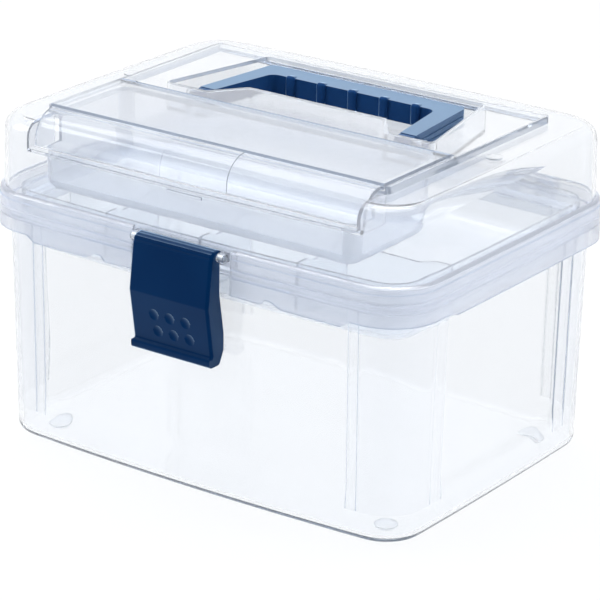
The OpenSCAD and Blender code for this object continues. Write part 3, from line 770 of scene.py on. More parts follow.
# Latch
LATCH_HALF_W = LATCH_HIGH.x
LATCH_AXIS_Y = (LATCH_PIN_LOW.y + LATCH_PIN_HIGH.y) / 2
LATCH_AXIS_Z = (LATCH_PIN_LOW.z + LATCH_PIN_HIGH.z) / 2
LATCH_PIN_R = 1.53 * MM
LUG_R = 2.4 * MM
LUG_GAP = 0.3 * MM
LATCH_FOLD_Y = LATCH_LOW.y
LATCH_FOLD_Z = LATCH_AXIS_Z - 25.5 * MM
LATCH_LOW_Z = LATCH_LOW.z
LATCH_TOP_Z = LATCH_HIGH.z
LATCH_FOOT_IN = 4.4 * MM
LATCH_FOOT_H = 5.6 * MM
LATCH_SIDE_Y = -99.3 * MM
LATCH_NECK_Y = -103.2 * MM
LATCH_WALL = 2.2 * MM
LATCH_BARREL_R = 3.5 * MM
LATCH_EDGE_R = 1.6 * MM
HOOK_GAP = 2.6 * MM
HOOK_T = 2 * MM
DIMPLE_R = 3.25 * MM
DIMPLE_DEPTH = 0.65 * MM
DIMPLE_PITCH = 10 * MM
DIMPLE_ROW_PITCH = 9.2 * MM
DIMPLE_DROP = 11.2 * MM
DIMPLE_SHIFT = 1.6 * MM

# Tray
TRAY_FLANGE_Z = RIM_Z - LEDGE_DEPTH + 0.3 * MM
TRAY_FLANGE_T = 1.3 * MM
TRAY_TOP_Z = TRAY_HIGH.z
TRAY_LOW_Z = TRAY_LOW.z
TRAY_FLAT_W = TRAY_HIGH.x - RIM_END_BOW
TRAY_FLAT_D = RIM_HALF_D - LEDGE_WALL - 0.4 * MM - RIM_BOW
TRAY_WALL_W = 125.2 * MM - WALL_END_BOW
TRAY_WALL_D = 92.1 * MM - WALL_BOW
TRAY_WALL = 1.8 * MM
TRAY_DRAFT = 1.4 * MM
TRAY_EDGE_R = 8 * MM
DIVIDER_T = 1.6 * MM
DIVIDER_DIP = 2.2 * MM
DIVIDER_SLOPE = 6 * MM


def make_bin(material):
    """The bin: one moulding with a skirted rim, a ledge for the tray and corner columns"""
    wall_w, wall_d = WALL_FLAT_W, WALL_FLAT_D
    piece = outline("bin_body", RIM_FLAT_W, RIM_FLAT_D, RIM_Z, RIM_CORNER)
    push(z=-SKIRT_H)
    inset(SKIRT_T)
    push(z=WALL_TOP_Z - RIM_Z + SKIRT_H)
    inset(RIM_FLAT_W - SKIRT_T - wall_w)
    fit(wall_w, wall_d)
    push(z=FLOOR_Z - WALL_TOP_Z)
    fit(wall_w - DRAFT, wall_d - DRAFT)
    round_edge(FLOOR_EDGE_R, 6)
    cut_bin_panels()
    plate_at(RIM_Z, UP)
    inset(LEDGE_WALL)
    push(z=-LEDGE_DEPTH)
    inset(RIM_FLAT_W - LEDGE_WALL - (wall_w - WALL))
    fit(wall_w - WALL, wall_d - WALL)
    push(z=FLOOR_Z + WALL - RIM_Z + LEDGE_DEPTH)
    fit(wall_w - WALL - DRAFT, wall_d - WALL - DRAFT)
    round_edge(FLOOR_EDGE_R - WALL * 0.6, 5)
    close()
    move_points(piece, sunk_panels)
    move_points(piece, raised_skirt)
    move_points(piece, bowed(RIM_FLAT_W, RIM_FLAT_D, RIM_CORNER, [
        ((wall_w, wall_d), (WALL_END_BOW, WALL_BOW)),
        ((RIM_FLAT_W, RIM_FLAT_D), (RIM_END_BOW, RIM_BOW)),
    ]))
    gap_back = -RIM_HALF_D + LEDGE_WALL + 0.2 * MM
    gap_low = (-RIM_HALF_D - MM, RIM_Z - SKIRT_H - MM)
    take(piece, bar("latch_gap", GAP_HALF_W, gap_low, (gap_back, RIM_Z + MM)))
    add(piece, bar("catch", CATCH_HALF_W, (CATCH_FRONT_Y, CATCH_LOW_Z), (CATCH_BACK_Y, CATCH_HIGH_Z)))
    reach = HINGE_BIN_SPAN[1] + MM
    web_front = (RIM_FLAT_D - SKIRT_T * 0.8, RIM_Z - HINGE_WEB_H)
    web_back = (HINGE_Y + HINGE_R / 2, HINGE_Z - HINGE_R * 0.7)
    for hinge_x in (-HINGE_X, HINGE_X):
        for end in (-1, 1):
            inner, outer = (hinge_x + end * place for place in HINGE_BIN_SPAN)
            add(piece, block("hinge_web", (inner, *web_front), (outer, *web_back)))
            add(piece, rod("hinge_barrel", inner, outer, HINGE_Y, HINGE_Z, HINGE_R))
        take(piece, rod("hinge_bore", hinge_x - reach, hinge_x + reach, HINGE_Y, HINGE_Z, HINGE_PIN_R))
    for x in (-FOOT_X, FOOT_X):
        for y in (-FOOT_Y, FOOT_Y):
            take(piece, post("foot_hole", x, y, 0, FOOT_HOLE_TOP, FOOT_HOLE_R))
    tidy(piece, edge=0.4 * MM)
    mark_faces(piece, haze=bin_haze, line=bin_line)
    wear(piece, material, "base", "clear_plastic", "bin")
    return piece


def bin_haze(place, normal):
    """How hazy a face of the bin is: its rim, and more lightly its corner columns"""
    return is_skirt(place) or place.z > WALL_TOP_Z - 0.3 * MM or 0.32 * is_column(place)


def bin_line(place, normal):
    """How strongly a face of the bin takes the painted blue-grey shade of a line"""
    on_rim_edge = place.z > RIM_Z - MM and normal.z > 0.2 and rim_reach(place) > RIM_CORNER - 0.5 * MM
    return (
        0.9 * (is_skirt(place) and normal.z < -0.25)
        or 0.5 * on_rim_edge
        or 0.7 * (is_panel_step(place) and is_outer_skin(place))
        or 0.45 * (place.z < FLOOR_Z + MM and abs(normal.z) < 0.9)
    )


def is_bin_wall(face):
    """The bin's upright outer walls, while the bin is still solid"""
    lowest = min(point.co.z for point in face.verts)
    return FLOOR_Z + FLOOR_EDGE_R - CLOSE < lowest < RIM_Z / 2 and abs(face.normal.z) < 0.3


def is_front_skirt(face):
    """The skirt's front faces, while the bin is still solid"""
    x, y, z = face.calc_center_median()
    return z > RIM_Z - SKIRT_H - CLOSE and y < -WALL_HALF_D + MM


def panel_edges(edge):
    """The rows of points of one stepped edge of a panel"""
    low, high = edge
    return (low - PANEL_STEP_W, low, high, high + PANEL_STEP_W)


def cut_bin_panels():
    """Gives the outer walls and the skirt the rows of points that their panels and notches need"""
    for side in (-1, 1):
        for place in panel_edges(PANEL_EDGE_X):
            pick("FACE", is_bin_wall)
            cut(X, side * place)
    for edge, side in ((PANEL_EDGE_BACK, 1), (PANEL_EDGE_FRONT, -1)):
        for place in panel_edges(edge):
            pick("FACE", is_bin_wall)
            cut(Y, side * place)
    fade_steps = 5
    for step in range(fade_steps + 1):
        pick("FACE", is_bin_wall)
        cut(Z, PANEL_FADE[0] + (PANEL_FADE[1] - PANEL_FADE[0]) * step / fade_steps)
    for side in (-1, 1):
        for place in NOTCH_X:
            pick("FACE", is_front_skirt)
            cut(X, side * place)


def panel_share(distance, edge):
    """How far the wall is sunk across a panel's stepped edge: whole inside, half on the strip"""
    low, high = edge
    if distance <= low - CLOSE:
        return min(1, 0.55 + 0.45 * (low - distance) / PANEL_STEP_W)
    if distance <= high + CLOSE:
        return 0.55 - 0.1 * (distance - low) / (high - low)
    return max(0, 0.45 * (1 - (distance - high) / PANEL_STEP_W))


def sunk_panels(point):
    """Sinks the panels between the corner columns"""
    x, y, z = point
    if z > WALL_TOP_Z + CLOSE or abs(x) > WALL_FLAT_W + CLOSE or abs(y) > WALL_FLAT_D + CLOSE:
        return point
    depth = PANEL_SINK * ramp(z, *PANEL_FADE)
    if abs(y) > WALL_FLAT_D * 0.9:
        y -= math.copysign(depth * panel_share(abs(x), PANEL_EDGE_X), y)
    elif abs(x) > WALL_FLAT_W * 0.9:
        edge = PANEL_EDGE_BACK if y > 0 else PANEL_EDGE_FRONT
        x -= math.copysign(depth * panel_share(abs(y), edge), x)
    return Vector((x, y, z))


def is_panel_step(place):
    """Whether a place on the outer walls lies on one of the narrow steps beside a column"""
    x, y, z = place
    if is_skirt(place) or not PANEL_FADE[0] < z < WALL_TOP_Z:
        return False
    if on_long_wall(y):
        distance, edge = abs(x), PANEL_EDGE_X
    else:
        distance, edge = abs(y), PANEL_EDGE_BACK if y > 0 else PANEL_EDGE_FRONT
    low, high = edge
    return low - PANEL_STEP_W < distance < low or high < distance < high + PANEL_STEP_W


def on_long_wall(y):
    """Whether a place this far back lies on the front or the back wall, not on an end wall"""
    return abs(y) > WALL_FLAT_D - WALL - DRAFT


def is_outer_skin(place):
    """Whether a place on the bin's walls lies on their outer side"""
    x, y, z = place
    draft = DRAFT * (1 - z / WALL_TOP_Z)
    if abs(x) > RIM_FLAT_W - RIM_CORNER and abs(y) > RIM_FLAT_D - RIM_CORNER:
        return rim_reach(place) > RIM_CORNER - SKIN_CORNER_IN - draft
    sunk = draft + SKIN_DEPTH
    return abs(x) > WALL_FLAT_W - sunk or abs(y) > WALL_FLAT_D - sunk


def is_column(place):
    """Whether a place lies on the outside of a corner column, or on the strip beside it"""
    x, y, z = place
    if not PANEL_FADE[0] < z < WALL_TOP_Z or not is_outer_skin(place):
        return False
    if on_long_wall(y):
        return abs(x) > PANEL_EDGE_X[0]
    return abs(y) > (PANEL_EDGE_BACK if y > 0 else PANEL_EDGE_FRONT)[0]


def rim_reach(place):
    """How far out a place lies from the straight core of the rim's outline"""
    out_x = max(abs(place.x) - (RIM_FLAT_W - RIM_CORNER), 0)
    out_y = max(abs(place.y) - (RIM_FLAT_D - RIM_CORNER), 0)
    return math.hypot(out_x, out_y)


def is_skirt(place):
    return rim_reach(place) > RIM_CORNER - SKIRT_T - 0.6 * MM and place.z > RIM_Z - SKIRT_H - SKIRT_RISE


def raised_skirt(point):
    """The skirt's lower edge: higher round the front corners, with a notch on each side of the latch"""
    x, y, z = point
    if abs(z - RIM_Z + SKIRT_H) > CLOSE:
        return point
    lift = SKIRT_RISE * min(ramp(abs(x), *SKIRT_TURN_X), ramp(-y, *SKIRT_TURN_Y))
    if y < -WALL_HALF_D + 2 * MM and abs(x) < SKIRT_TURN_X[0]:
        near, far = SKIRT_TILT
        share = max(0, abs(x) - GAP_HALF_W) / (SKIRT_TURN_X[0] - GAP_HALF_W)
        lift = near + (far - near) * share
        inner, top_in, top_out, outer = NOTCH_X
        rising = min((abs(x) - inner) / (top_in - inner), (outer - abs(x)) / (outer - top_out), 1)
        lift += NOTCH_RISE * max(0, rising)
    return Vector((x, y, z + lift))


def make_lid(material):
    """The lid: a flange, a rounded shoulder and a raised platform, open for the flap and the handle"""
    piece = outline("lid_shell", RIM_FLAT_W, RIM_FLAT_D, LID_Z, RIM_CORNER)
    push(z=FLANGE_LINE_Z - LID_Z)
    inset(FLANGE_STEP)
    push(z=FLANGE_Z - FLANGE_LINE_Z)
    round_edge(FLANGE_ROUND, 4)
    plate_at(FLANGE_Z, UP)
    inset(LID_INSET - FLANGE_STEP - FLANGE_ROUND)
    push(z=SHOULDER_Z - FLANGE_Z)
    top_w, top_d = RIM_FLAT_W - LID_INSET - LID_TAPER, RIM_FLAT_D - LID_INSET - LID_TAPER
    fit(top_w, top_d)
    round_edge(SHOULDER_R, 8)
    cut_level(SHOULDER_Z, UP, X, (-PLATFORM_HALF_W, PLATFORM_HALF_W))
    cut_level(SHOULDER_Z, UP, Y, (PLATFORM_FRONT_Y, PLATFORM_BACK_Y))
    low, high = (-PLATFORM_HALF_W, PLATFORM_FRONT_Y), (PLATFORM_HALF_W, PLATFORM_BACK_Y)
    on_top = level_faces(SHOULDER_Z, UP)
    pick("FACE", lambda face: on_top(face) and within(face, low, high))
    push(z=PLATFORM_Z - SHOULDER_Z)
    pick("EDGE", lambda edge: (
        abs(edge.verts[0].co.z - edge.verts[1].co.z) > PLATFORM_Z - SHOULDER_Z - CLOSE
        and abs(abs(middle(edge).x) - PLATFORM_HALF_W) < CLOSE
        and middle(edge).z > SHOULDER_Z
    ))
    bpy.ops.mesh.bevel(offset=PLATFORM_CORNER, segments=4, affect="EDGES")
    plate_at(LID_Z, DOWN)
    inset(LID_RIM_T)
    push(z=FLANGE_Z - LID_WALL - LID_Z)
    inset(LID_INSET)
    push(z=SHOULDER_Z - FLANGE_Z)
    fit(top_w - LID_WALL, top_d - LID_WALL)
    round_edge(SHOULDER_R - LID_WALL, 6)
    inner_z = SHOULDER_Z - LID_WALL
    inner_w = PLATFORM_HALF_W - LID_WALL
    inner_low, inner_high = (-inner_w, PLATFORM_FRONT_Y + LID_WALL), (inner_w, PLATFORM_BACK_Y - LID_WALL)
    cut_level(inner_z, DOWN, X, (-inner_w, inner_w))
    cut_level(inner_z, DOWN, Y, (inner_low[1], inner_high[1]))
    under_top = level_faces(inner_z, DOWN)
    pick("FACE", lambda face: under_top(face) and within(face, inner_low, inner_high))
    push(z=PLATFORM_Z - SHOULDER_Z)
    close()
    move_points(piece, bowed(RIM_FLAT_W, RIM_FLAT_D, RIM_CORNER, [
        ((PLATFORM_HALF_W + MM, -PLATFORM_FRONT_Y + MM), (0, 0)),
        ((RIM_FLAT_W - LID_BOW_W, RIM_FLAT_D - LID_BOW_W), (RIM_END_BOW, RIM_BOW)),
        ((RIM_FLAT_W, RIM_FLAT_D), (RIM_END_BOW, RIM_BOW)),
    ]))
    open_lid(piece)
    fit_out_lid(piece)
    tidy(piece, edge=SOFT_EDGE)
    mark_faces(piece, haze=lid_haze, line=lid_line)
    wear(piece, material, "lid_group", "clear_plastic", "lid")
    return piece


def lid_haze(place, normal):
    """How hazy a face of the lid is: its flange, and the cut ends of its front wall"""
    x, y, z = place
    if abs(x) < GAP_HALF_W and y < LID_FRONT_Y:
        return 0
    if z < FLANGE_Z + 0.3 * MM:
        return 1
    cut_end = abs(abs(x) - CURL_ROOM_HALF_W) < 1.6 * MM and y < PLATFORM_FRONT_Y and z > LIP_LEDGE_Z
    return 0.6 * cut_end


def lid_line(place, normal):
    """How strongly a face of the lid takes the painted blue-grey shade of a line"""
    x, y, z = place
    upright = abs(normal.z) < 0.9
    trough_y = FLAP_AXIS_Y + 0.6 * MM
    if abs(x) < OPENING_HALF_W and abs(y - trough_y) < 3.4 * MM and z > FLAP_AXIS_Z - 4 * MM:
        return 1.1
    if z < LID_Z + 0.6 * MM and rim_reach(place) > RIM_CORNER - 0.5 * MM:
        return 0.5
    if abs(z - FLANGE_LINE_Z) < 0.5 * MM and rim_reach(place) > RIM_CORNER - MM and normal.z > 0.1:
        return 0.8
    in_well = abs(x) < WELL_FRONT_HALF_W + MM and WELL_FRONT_Y - MM < y < WELL_BACK_Y + MM
    if in_well and z > PLATFORM_Z - LID_WALL - MM and upright:
        return 0.7
    in_flap = abs(x) < OPENING_HALF_W + MM and PLATFORM_FRONT_Y < y < WELL_FRONT_Y - 2 * MM
    if in_flap and z > FLAP_SEAT_Z - 4 * MM and upright:
        return 0.6
    beside_platform = abs(abs(x) - PLATFORM_HALF_W) < 1.2 * MM
    if beside_platform and z > SHOULDER_Z - MM and upright:
        return 0.55
    return 0


def well_corners(grow, corner):
    """The plan of the handle's well round its island; grow moves it outward"""
    front = WELL_FRONT_Y - grow
    back = WELL_BACK_Y + grow
    island_back = ISLAND_BACK_Y - grow
    return [
        (-WELL_FRONT_HALF_W - grow, front, corner),
        (-ISLAND_FRONT_HALF_W + grow, front, corner / 2),
        (-ISLAND_BACK_HALF_W + grow, island_back, corner),
        (ISLAND_BACK_HALF_W - grow, island_back, corner),
        (ISLAND_FRONT_HALF_W - grow, front, corner / 2),
        (WELL_FRONT_HALF_W + grow, front, corner),
        (WELL_BACK_HALF_W + grow, back, corner),
        (-WELL_BACK_HALF_W - grow, back, corner),
    ]


def open_lid(piece):
    """Cuts the openings for the compartment, the flap, the handle and the latch"""
    above = PLATFORM_Z + CUT_ABOVE
    front = -RIM_HALF_D - MM
    flap_back = FLAP_AXIS_Y + FLAP_HINGE_ROOM
    take(
        piece,
        tub_room(FLANGE_Z, above - FLANGE_Z),
        bar("curl_cut", CURL_ROOM_HALF_W, (front, LIP_LEDGE_Z), (PLATFORM_FRONT_Y, above)),
        bar("curl_end_cut", OPENING_HALF_W, (CURL_Y, FLAP_SEAT_Z), (PLATFORM_FRONT_Y + MM, above)),
        bar("flap_cut", OPENING_HALF_W, (TUB_LOW.y, FLAP_SEAT_Z), (flap_back, above)),
        plan_block("well_cut", well_corners(0, WELL_CORNER), WELL_FLOOR_Z, above),
        bar("latch_gap", GAP_HALF_W, (front, LID_Z - MM), (LID_FRONT_Y + 0.05 * MM, FLANGE_Z + 0.02 * MM)),
    )


def tub_room(low_z, height):
    """The space that the compartment takes up in plan"""
    room = outline(
        "tub_cut", TUB_HALF_W + CLOSE, TUB_HALF_D + CLOSE, low_z, TUB_CORNER,
        centre=(0, TUB_MID_Y), side_points=2, corner_steps=8,
    )
    push(z=height)
    close_solid()
    return room


def fit_out_lid(piece):
    """Adds what is moulded on the lid: ledges, cheeks, lugs, barrels and marks"""
    wall_y = LID_FRONT_Y + RIM_BOW + LID_WALL
    wall_mid_y = wall_y - LID_WALL / 2
    ledge_low_z = LIP_LEDGE_Z - LID_WALL
    add_flap_seat(piece)
    curl_cheek_x = CURL_ROOM_HALF_W + CHEEK_T
    cheek_top = SHOULDER_Z - 0.3 * MM
    cheek = [
        (wall_mid_y, ledge_low_z, 0),
        (PLATFORM_FRONT_Y + LID_WALL, ledge_low_z, 0),
        (PLATFORM_FRONT_Y + LID_WALL, cheek_top, 0),
        (wall_mid_y, cheek_top, SHOULDER_R),
    ]
    for side in (-1, 1):
        add(piece, side_block("cheek", cheek, side * CURL_ROOM_HALF_W, side * curl_cheek_x, steps=8))
    ledge_high = (TUB_LOW.y - CLOSE, LIP_LEDGE_Z - OVERLAP)
    gap_wall_high = (LID_FRONT_Y + LID_WALL, FLANGE_Z - LID_WALL / 2)
    catch_low = (LID_FRONT_Y - FLAP_CATCH_OUT, LIP_LEDGE_Z - FLAP_CATCH_DROPS[1])
    catch_high = (LID_FRONT_Y + LID_WALL / 2, LIP_LEDGE_Z - FLAP_CATCH_DROPS[0])
    add(
        piece,
        bar("lip_ledge", curl_cheek_x, (wall_mid_y, ledge_low_z), ledge_high),
        bar("latch_gap_wall", GAP_HALF_W + LID_WALL, (LID_FRONT_Y + 0.1 * MM, LID_Z), gap_wall_high),
        bar("flap_catch", FLAP_CATCH_HALF_W, catch_low, catch_high),
    )
    for side in (-1, 1):
        inner, outer = side * (LATCH_HALF_W + LUG_GAP), side * LATCH_PIN_HIGH.x
        lug_back = wall_y - 0.5 * MM
        mark_x, mark_y = side * SHOULDER_MARK[0], SHOULDER_MARK[1]
        arm_in, arm_out = side * HINGE_X - HINGE_LID_HALF, side * HINGE_X + HINGE_LID_HALF
        arm_front = RIM_FLAT_D - LID_RIM_T
        add(
            piece,
            block(
                "latch_lug",
                (inner, LATCH_AXIS_Y, LATCH_AXIS_Z - LUG_R),
                (outer, lug_back, LATCH_AXIS_Z + LUG_R),
            ),
            rod("latch_lug_end", inner, outer, LATCH_AXIS_Y, LATCH_AXIS_Z, LUG_R),
            post("shoulder_mark", mark_x, mark_y, SHOULDER_Z - MM, SHOULDER_Z + 0.5 * MM, SHOULDER_MARK_R),
            block("hinge_arm", (arm_in, arm_front, LID_Z), (arm_out, HINGE_Y, HINGE_Z + HINGE_R)),
            rod("hinge_barrel", arm_in, arm_out, HINGE_Y, HINGE_Z, HINGE_R),
        )
        take(piece, rod("hinge_bore", arm_in - MM, arm_out + MM, HINGE_Y, HINGE_Z, HINGE_PIN_R))
    take(
        piece,
        axle("latch_bore", LATCH_PIN_HIGH.x + 0.02 * MM, LATCH_AXIS_Y, LATCH_AXIS_Z, LATCH_PIN_R),
        rod("flap_bore", FLAP_PIN_LOW.x, FLAP_PIN_HIGH.x, FLAP_AXIS_Y, FLAP_AXIS_Z, FLAP_PIN_R),
    )


def add_flap_seat(piece):
    """Adds the frame that the flap rests on, with the trough for its barrels"""
    seat_half_w = OPENING_HALF_W + CHEEK_T
    seat_back = FLAP_AXIS_Y + FLAP_HINGE_ROOM + CHEEK_T
    trough_z = FLAP_AXIS_Z - FLAP_HINGE_ROOM - CHEEK_T
    seat_low = (PLATFORM_FRONT_Y, FLAP_SEAT_Z - LID_WALL)
    seat = bar("flap_seat", seat_half_w, seat_low, (seat_back, FLAP_SEAT_Z))
    add(seat, bar("trough", seat_half_w, (TUB_HIGH.y, trough_z), (seat_back, FLAP_SEAT_Z - OVERLAP)))
    take(
        seat,
        tub_room(FLAP_SEAT_Z - 3 * LID_WALL, 5 * LID_WALL),
        axle("trough_cut", OPENING_HALF_W, FLAP_AXIS_Y, FLAP_AXIS_Z, FLAP_HINGE_ROOM),
    )
    add(piece, seat)


def make_tub(material):
    """The compartment under the flap, with rounded lower edges"""
    piece = outline(
        "lid_tub", TUB_HALF_W - CLOSE, TUB_HALF_D - CLOSE, TUB_HIGH.z, TUB_CORNER,
        centre=(0, TUB_MID_Y), side_points=8, corner_steps=8,
    )
    push(z=TUB_LOW.z - TUB_HIGH.z)
    round_edge(TUB_CORNER, 8)
    plate_at(TUB_HIGH.z, UP)
    inset(TUB_WALL)
    push(z=TUB_LOW.z + TUB_WALL - TUB_HIGH.z)
    round_edge(TUB_CORNER - TUB_WALL, 8)
    close()
    room_low = (TUB_LOW.y - MM, LIP_LEDGE_Z)
    take(piece, bar("curl_room", TUB_HALF_W + MM, room_low, (PLATFORM_FRONT_Y, TUB_HIGH.z + MM)))
    tidy(piece, edge=SOFT_EDGE)
    mark_faces(piece, line=tub_line, haze=lambda place, normal: 0.5 * (abs(normal.z) < 0.9))
    wear(piece, material, "lid_group", "frosted_plastic", "lid_compartment")
    return piece


def tub_line(place, normal):
    """How strongly a face of the compartment takes the painted blue-grey shade of a line: its lower edge,
    then its upright corners
    """
    return (
        0.35 * (place.z < TUB_LOW.z + TUB_CORNER and 0.2 < -normal.z < 0.9)
        or 0.25 * (abs(normal.x) > 0.25 and abs(normal.y) > 0.25)
    )


def make_well(material):
    """The well that the handle folds into, with the ears for its pivots"""
    rim = PLATFORM_Z - LID_WALL - CLOSE
    outer_plan = well_corners(WELL_WALL, WELL_CORNER + WELL_WALL)
    piece = plan_block("handle_pocket", outer_plan, WELL_FLOOR_Z - WELL_WALL, rim)
    take(piece, plan_block("well_room", well_corners(0, WELL_CORNER), WELL_FLOOR_Z, rim + MM))
    ear_r = PIVOT_R + EAR_WALL
    for side in (-1, 1):
        inner = side * (HANDLE_FRONT_HALF_W + EAR_GAP)
        outer = inner + side * EAR_T
        root_low = (inner, HANDLE_AXIS_Y - ear_r, WELL_FLOOR_Z - WELL_WALL / 2)
        add(
            piece,
            block("ear_root", root_low, (outer, HANDLE_AXIS_Y + ear_r, HANDLE_AXIS_Z)),
            rod("ear", inner, outer, HANDLE_AXIS_Y, HANDLE_AXIS_Z, ear_r),
        )
        bore_in, bore_out = inner - side * MM, outer + side * MM
        bore_r = PIVOT_R + 2 * PIN_PLAY
        take(piece, rod("ear_bore", bore_in, bore_out, HANDLE_AXIS_Y, HANDLE_AXIS_Z, bore_r))
    tidy(piece, edge=SOFT_EDGE)
    wear(piece, material, "lid_group", "clear_plastic", "handle_well")
    return piece


def curl_corners(top_z, radius, low_z):
    """The side view of a rolled front: a flat run, a quarter turn and a straight lip"""
    front = CURL_Y - radius
    axis_z = top_z - radius
    inner = radius - FLAP_T
    steps = 12
    quarter = [math.pi / 2 * step / steps for step in range(steps + 1)]
    # Two extra points on the outer arc make a narrow facet that carries a painted shade line
    outer_arc = [
        (CURL_Y - radius * math.sin(a), axis_z + radius * math.cos(a), 0)
        for a in sorted(quarter + [math.radians(angle) for angle in PAINTED_LINE_ANGLES])
    ]
    inner_arc = [
        (CURL_Y - inner * math.sin(a), axis_z + inner * math.cos(a), 0)
        for a in reversed(quarter)
    ]
    return outer_arc + [(front, low_z, 0), (front + FLAP_T, low_z, 0)] + inner_arc


def make_flap(material):
    """The flap: a flat plate, one step down to its rolled front, and a raised thumb tab"""
    half_w = FLAP_HIGH.x
    curl_top = FLAP_TOP_Z - FLAP_STEP
    plate = [
        (FLAP_AXIS_Y, FLAP_TOP_Z - FLAP_T - FLAP_STEP / 2, 0),
        (FLAP_AXIS_Y, FLAP_TOP_Z, FLAP_BACK_R),
        (FLAP_AXIS_Y - HINGE_BAND, FLAP_TOP_Z, 0),
        (PLATFORM_FRONT_Y, FLAP_TOP_Z, 0),
        (PLATFORM_FRONT_Y - 0.4 * MM, curl_top, 0),
        (CURL_Y, curl_top, 0),
        (CURL_Y, curl_top - FLAP_T, 0),
        (PLATFORM_FRONT_Y, curl_top - FLAP_T, 0),
        (PLATFORM_FRONT_Y + 0.5 * MM, FLAP_TOP_Z - FLAP_T - FLAP_STEP / 2, 0),
    ]
    piece = side_block("flap_plate", plate, -half_w, half_w)
    add(
        piece,
        side_block(
            "flap_curl", curl_corners(curl_top, CURL_R - FLAP_STEP, FLAP_LOW.z), -CURL_HALF_W, CURL_HALF_W,
        ),
        side_block(
            "thumb_tab",
            curl_corners(curl_top + TAB_RISE * 0.8, CURL_R - FLAP_STEP + TAB_RISE, FLAP_LOW.z),
            -TAB_HALF_W,
            TAB_HALF_W,
        ),
    )
    barrel_end = half_w - 0.3 * MM
    for side in (-1, 1):
        inner, outer = side * (barrel_end - FLAP_BARREL_LEN), side * barrel_end
        add(piece, rod("flap_barrel", inner, outer, FLAP_AXIS_Y, FLAP_AXIS_Z, FLAP_BARREL_R))
        pin_in = side * (FLAP_PIN_HIGH.x - FLAP_BORE_LEN)
        pin_out = side * (FLAP_PIN_HIGH.x + MM)
        take(piece, rod("flap_bore", pin_in, pin_out, FLAP_AXIS_Y, FLAP_AXIS_Z, FLAP_PIN_R + PIN_PLAY))
    tidy(piece, edge=THIN_EDGE)
    mark_faces(piece, line=flap_line)
    wear(piece, material, "flap", "clear_plastic", "flap_cover")
    return piece


def flap_line(place, normal):
    """How strongly a face of the flap takes the painted blue-grey shade of a line"""
    on_step = place.y < PLATFORM_FRONT_Y + 0.3 * MM and place.z > FLAP_TOP_Z - FLAP_STEP and normal.y < -0.2
    near_y, far_y = (CURL_Y - (CURL_R - FLAP_STEP) * math.sin(math.radians(angle)) for angle in PAINTED_LINE_ANGLES)
    return (
        0.75 * on_step
        or 0.75 * (far_y < place.y < near_y and normal.z > 0.7)
        or 0.5 * (abs(normal.x) > 0.3 and abs(place.x) > CURL_HALF_W - 0.5 * MM)
        or 0.5 * (place.z < FLAP_LOW.z + 0.5 * MM)
        or 1.2 * (place.y > FLAP_AXIS_Y - HINGE_BAND and (normal.y > 0.2 or normal.z > 0.2))
    )


def make_handle(material):
    """The carry handle: two leaning legs, a grip with finger ribs, and a pivot at each leg's end"""
    low_z = HANDLE_TOP_Z - HANDLE_T
    back = HANDLE_HIGH.y
    foot_in = HANDLE_FRONT_HALF_W - LEG_W
    grip_in = GRIP_HALF_W - LEG_W - MM
    plan = [
        (-HANDLE_FRONT_HALF_W, HANDLE_AXIS_Y, 0),
        (-foot_in, HANDLE_AXIS_Y, 0),
        (-grip_in, GRIP_FRONT_Y, 5 * MM),
        (grip_in, GRIP_FRONT_Y, 5 * MM),
        (foot_in, HANDLE_AXIS_Y, 0),
        (HANDLE_FRONT_HALF_W, HANDLE_AXIS_Y, 0),
        (GRIP_HALF_W, back, 4 * MM),
        (-GRIP_HALF_W, back, 4 * MM),
    ]
    piece = plan_block("handle_bar", plan, low_z, HANDLE_TOP_Z, steps=6)
    groove_handle(piece)
    room_front = HANDLE_AXIS_Y - 8 * MM
    room_top = HANDLE_AXIS_Z - EYE_R * 0.8
    leg_room = [
        (room_front, low_z - MM, 0),
        (HANDLE_AXIS_Y + LEG_TAPER_LEN, low_z - MM, 0),
        (HANDLE_AXIS_Y, room_top, 0),
        (room_front, room_top, 0),
    ]
    room_half_w = HANDLE_FRONT_HALF_W + MM
    take(piece, side_block("leg_room", leg_room, -room_half_w, room_half_w))
    for side in (-1, 1):
        inner = side * foot_in
        eye_out = side * HANDLE_FRONT_HALF_W
        add(
            piece,
            rod("eye", inner, eye_out, HANDLE_AXIS_Y, HANDLE_AXIS_Z, EYE_R, steps=40),
            rod("pivot", inner, side * PIVOT_END, HANDLE_AXIS_Y, HANDLE_AXIS_Z, PIVOT_R),
        )
    for index in range(RIB_COUNT):
        add(piece, finger_rib((index - (RIB_COUNT - 1) / 2) * RIB_PITCH, low_z))
    tidy(piece, edge=0.8 * MM, steps=3, angle=38)
    wear(piece, material, "handle", "navy_plastic", "carry_handle")
    return piece


def groove_handle(piece):
    """Two fine grooves along the handle's outer sides"""
    def is_outside(face):
        x, y, z = face.calc_center_median()
        on_leg = abs(face.normal.x) > 0.5 and abs(x) > GRIP_HALF_W - 4 * MM and face.normal.x * x > 0
        return on_leg or face.normal.y > 0.2 and y > HANDLE_HIGH.y - 5 * MM

    edit(piece)
    grooves = [[HANDLE_TOP_Z - drop for drop in drops] for drops in GROOVE_DROPS]
    for groove in grooves:
        cut_all(Z, groove)
    for high, low in grooves:
        pick("FACE", lambda face: low < face.calc_center_median().z < high and is_outside(face))
        bpy.ops.mesh.inset(thickness=OVERLAP, depth=-GROOVE_DEPTH, use_even_offset=True)
    close()


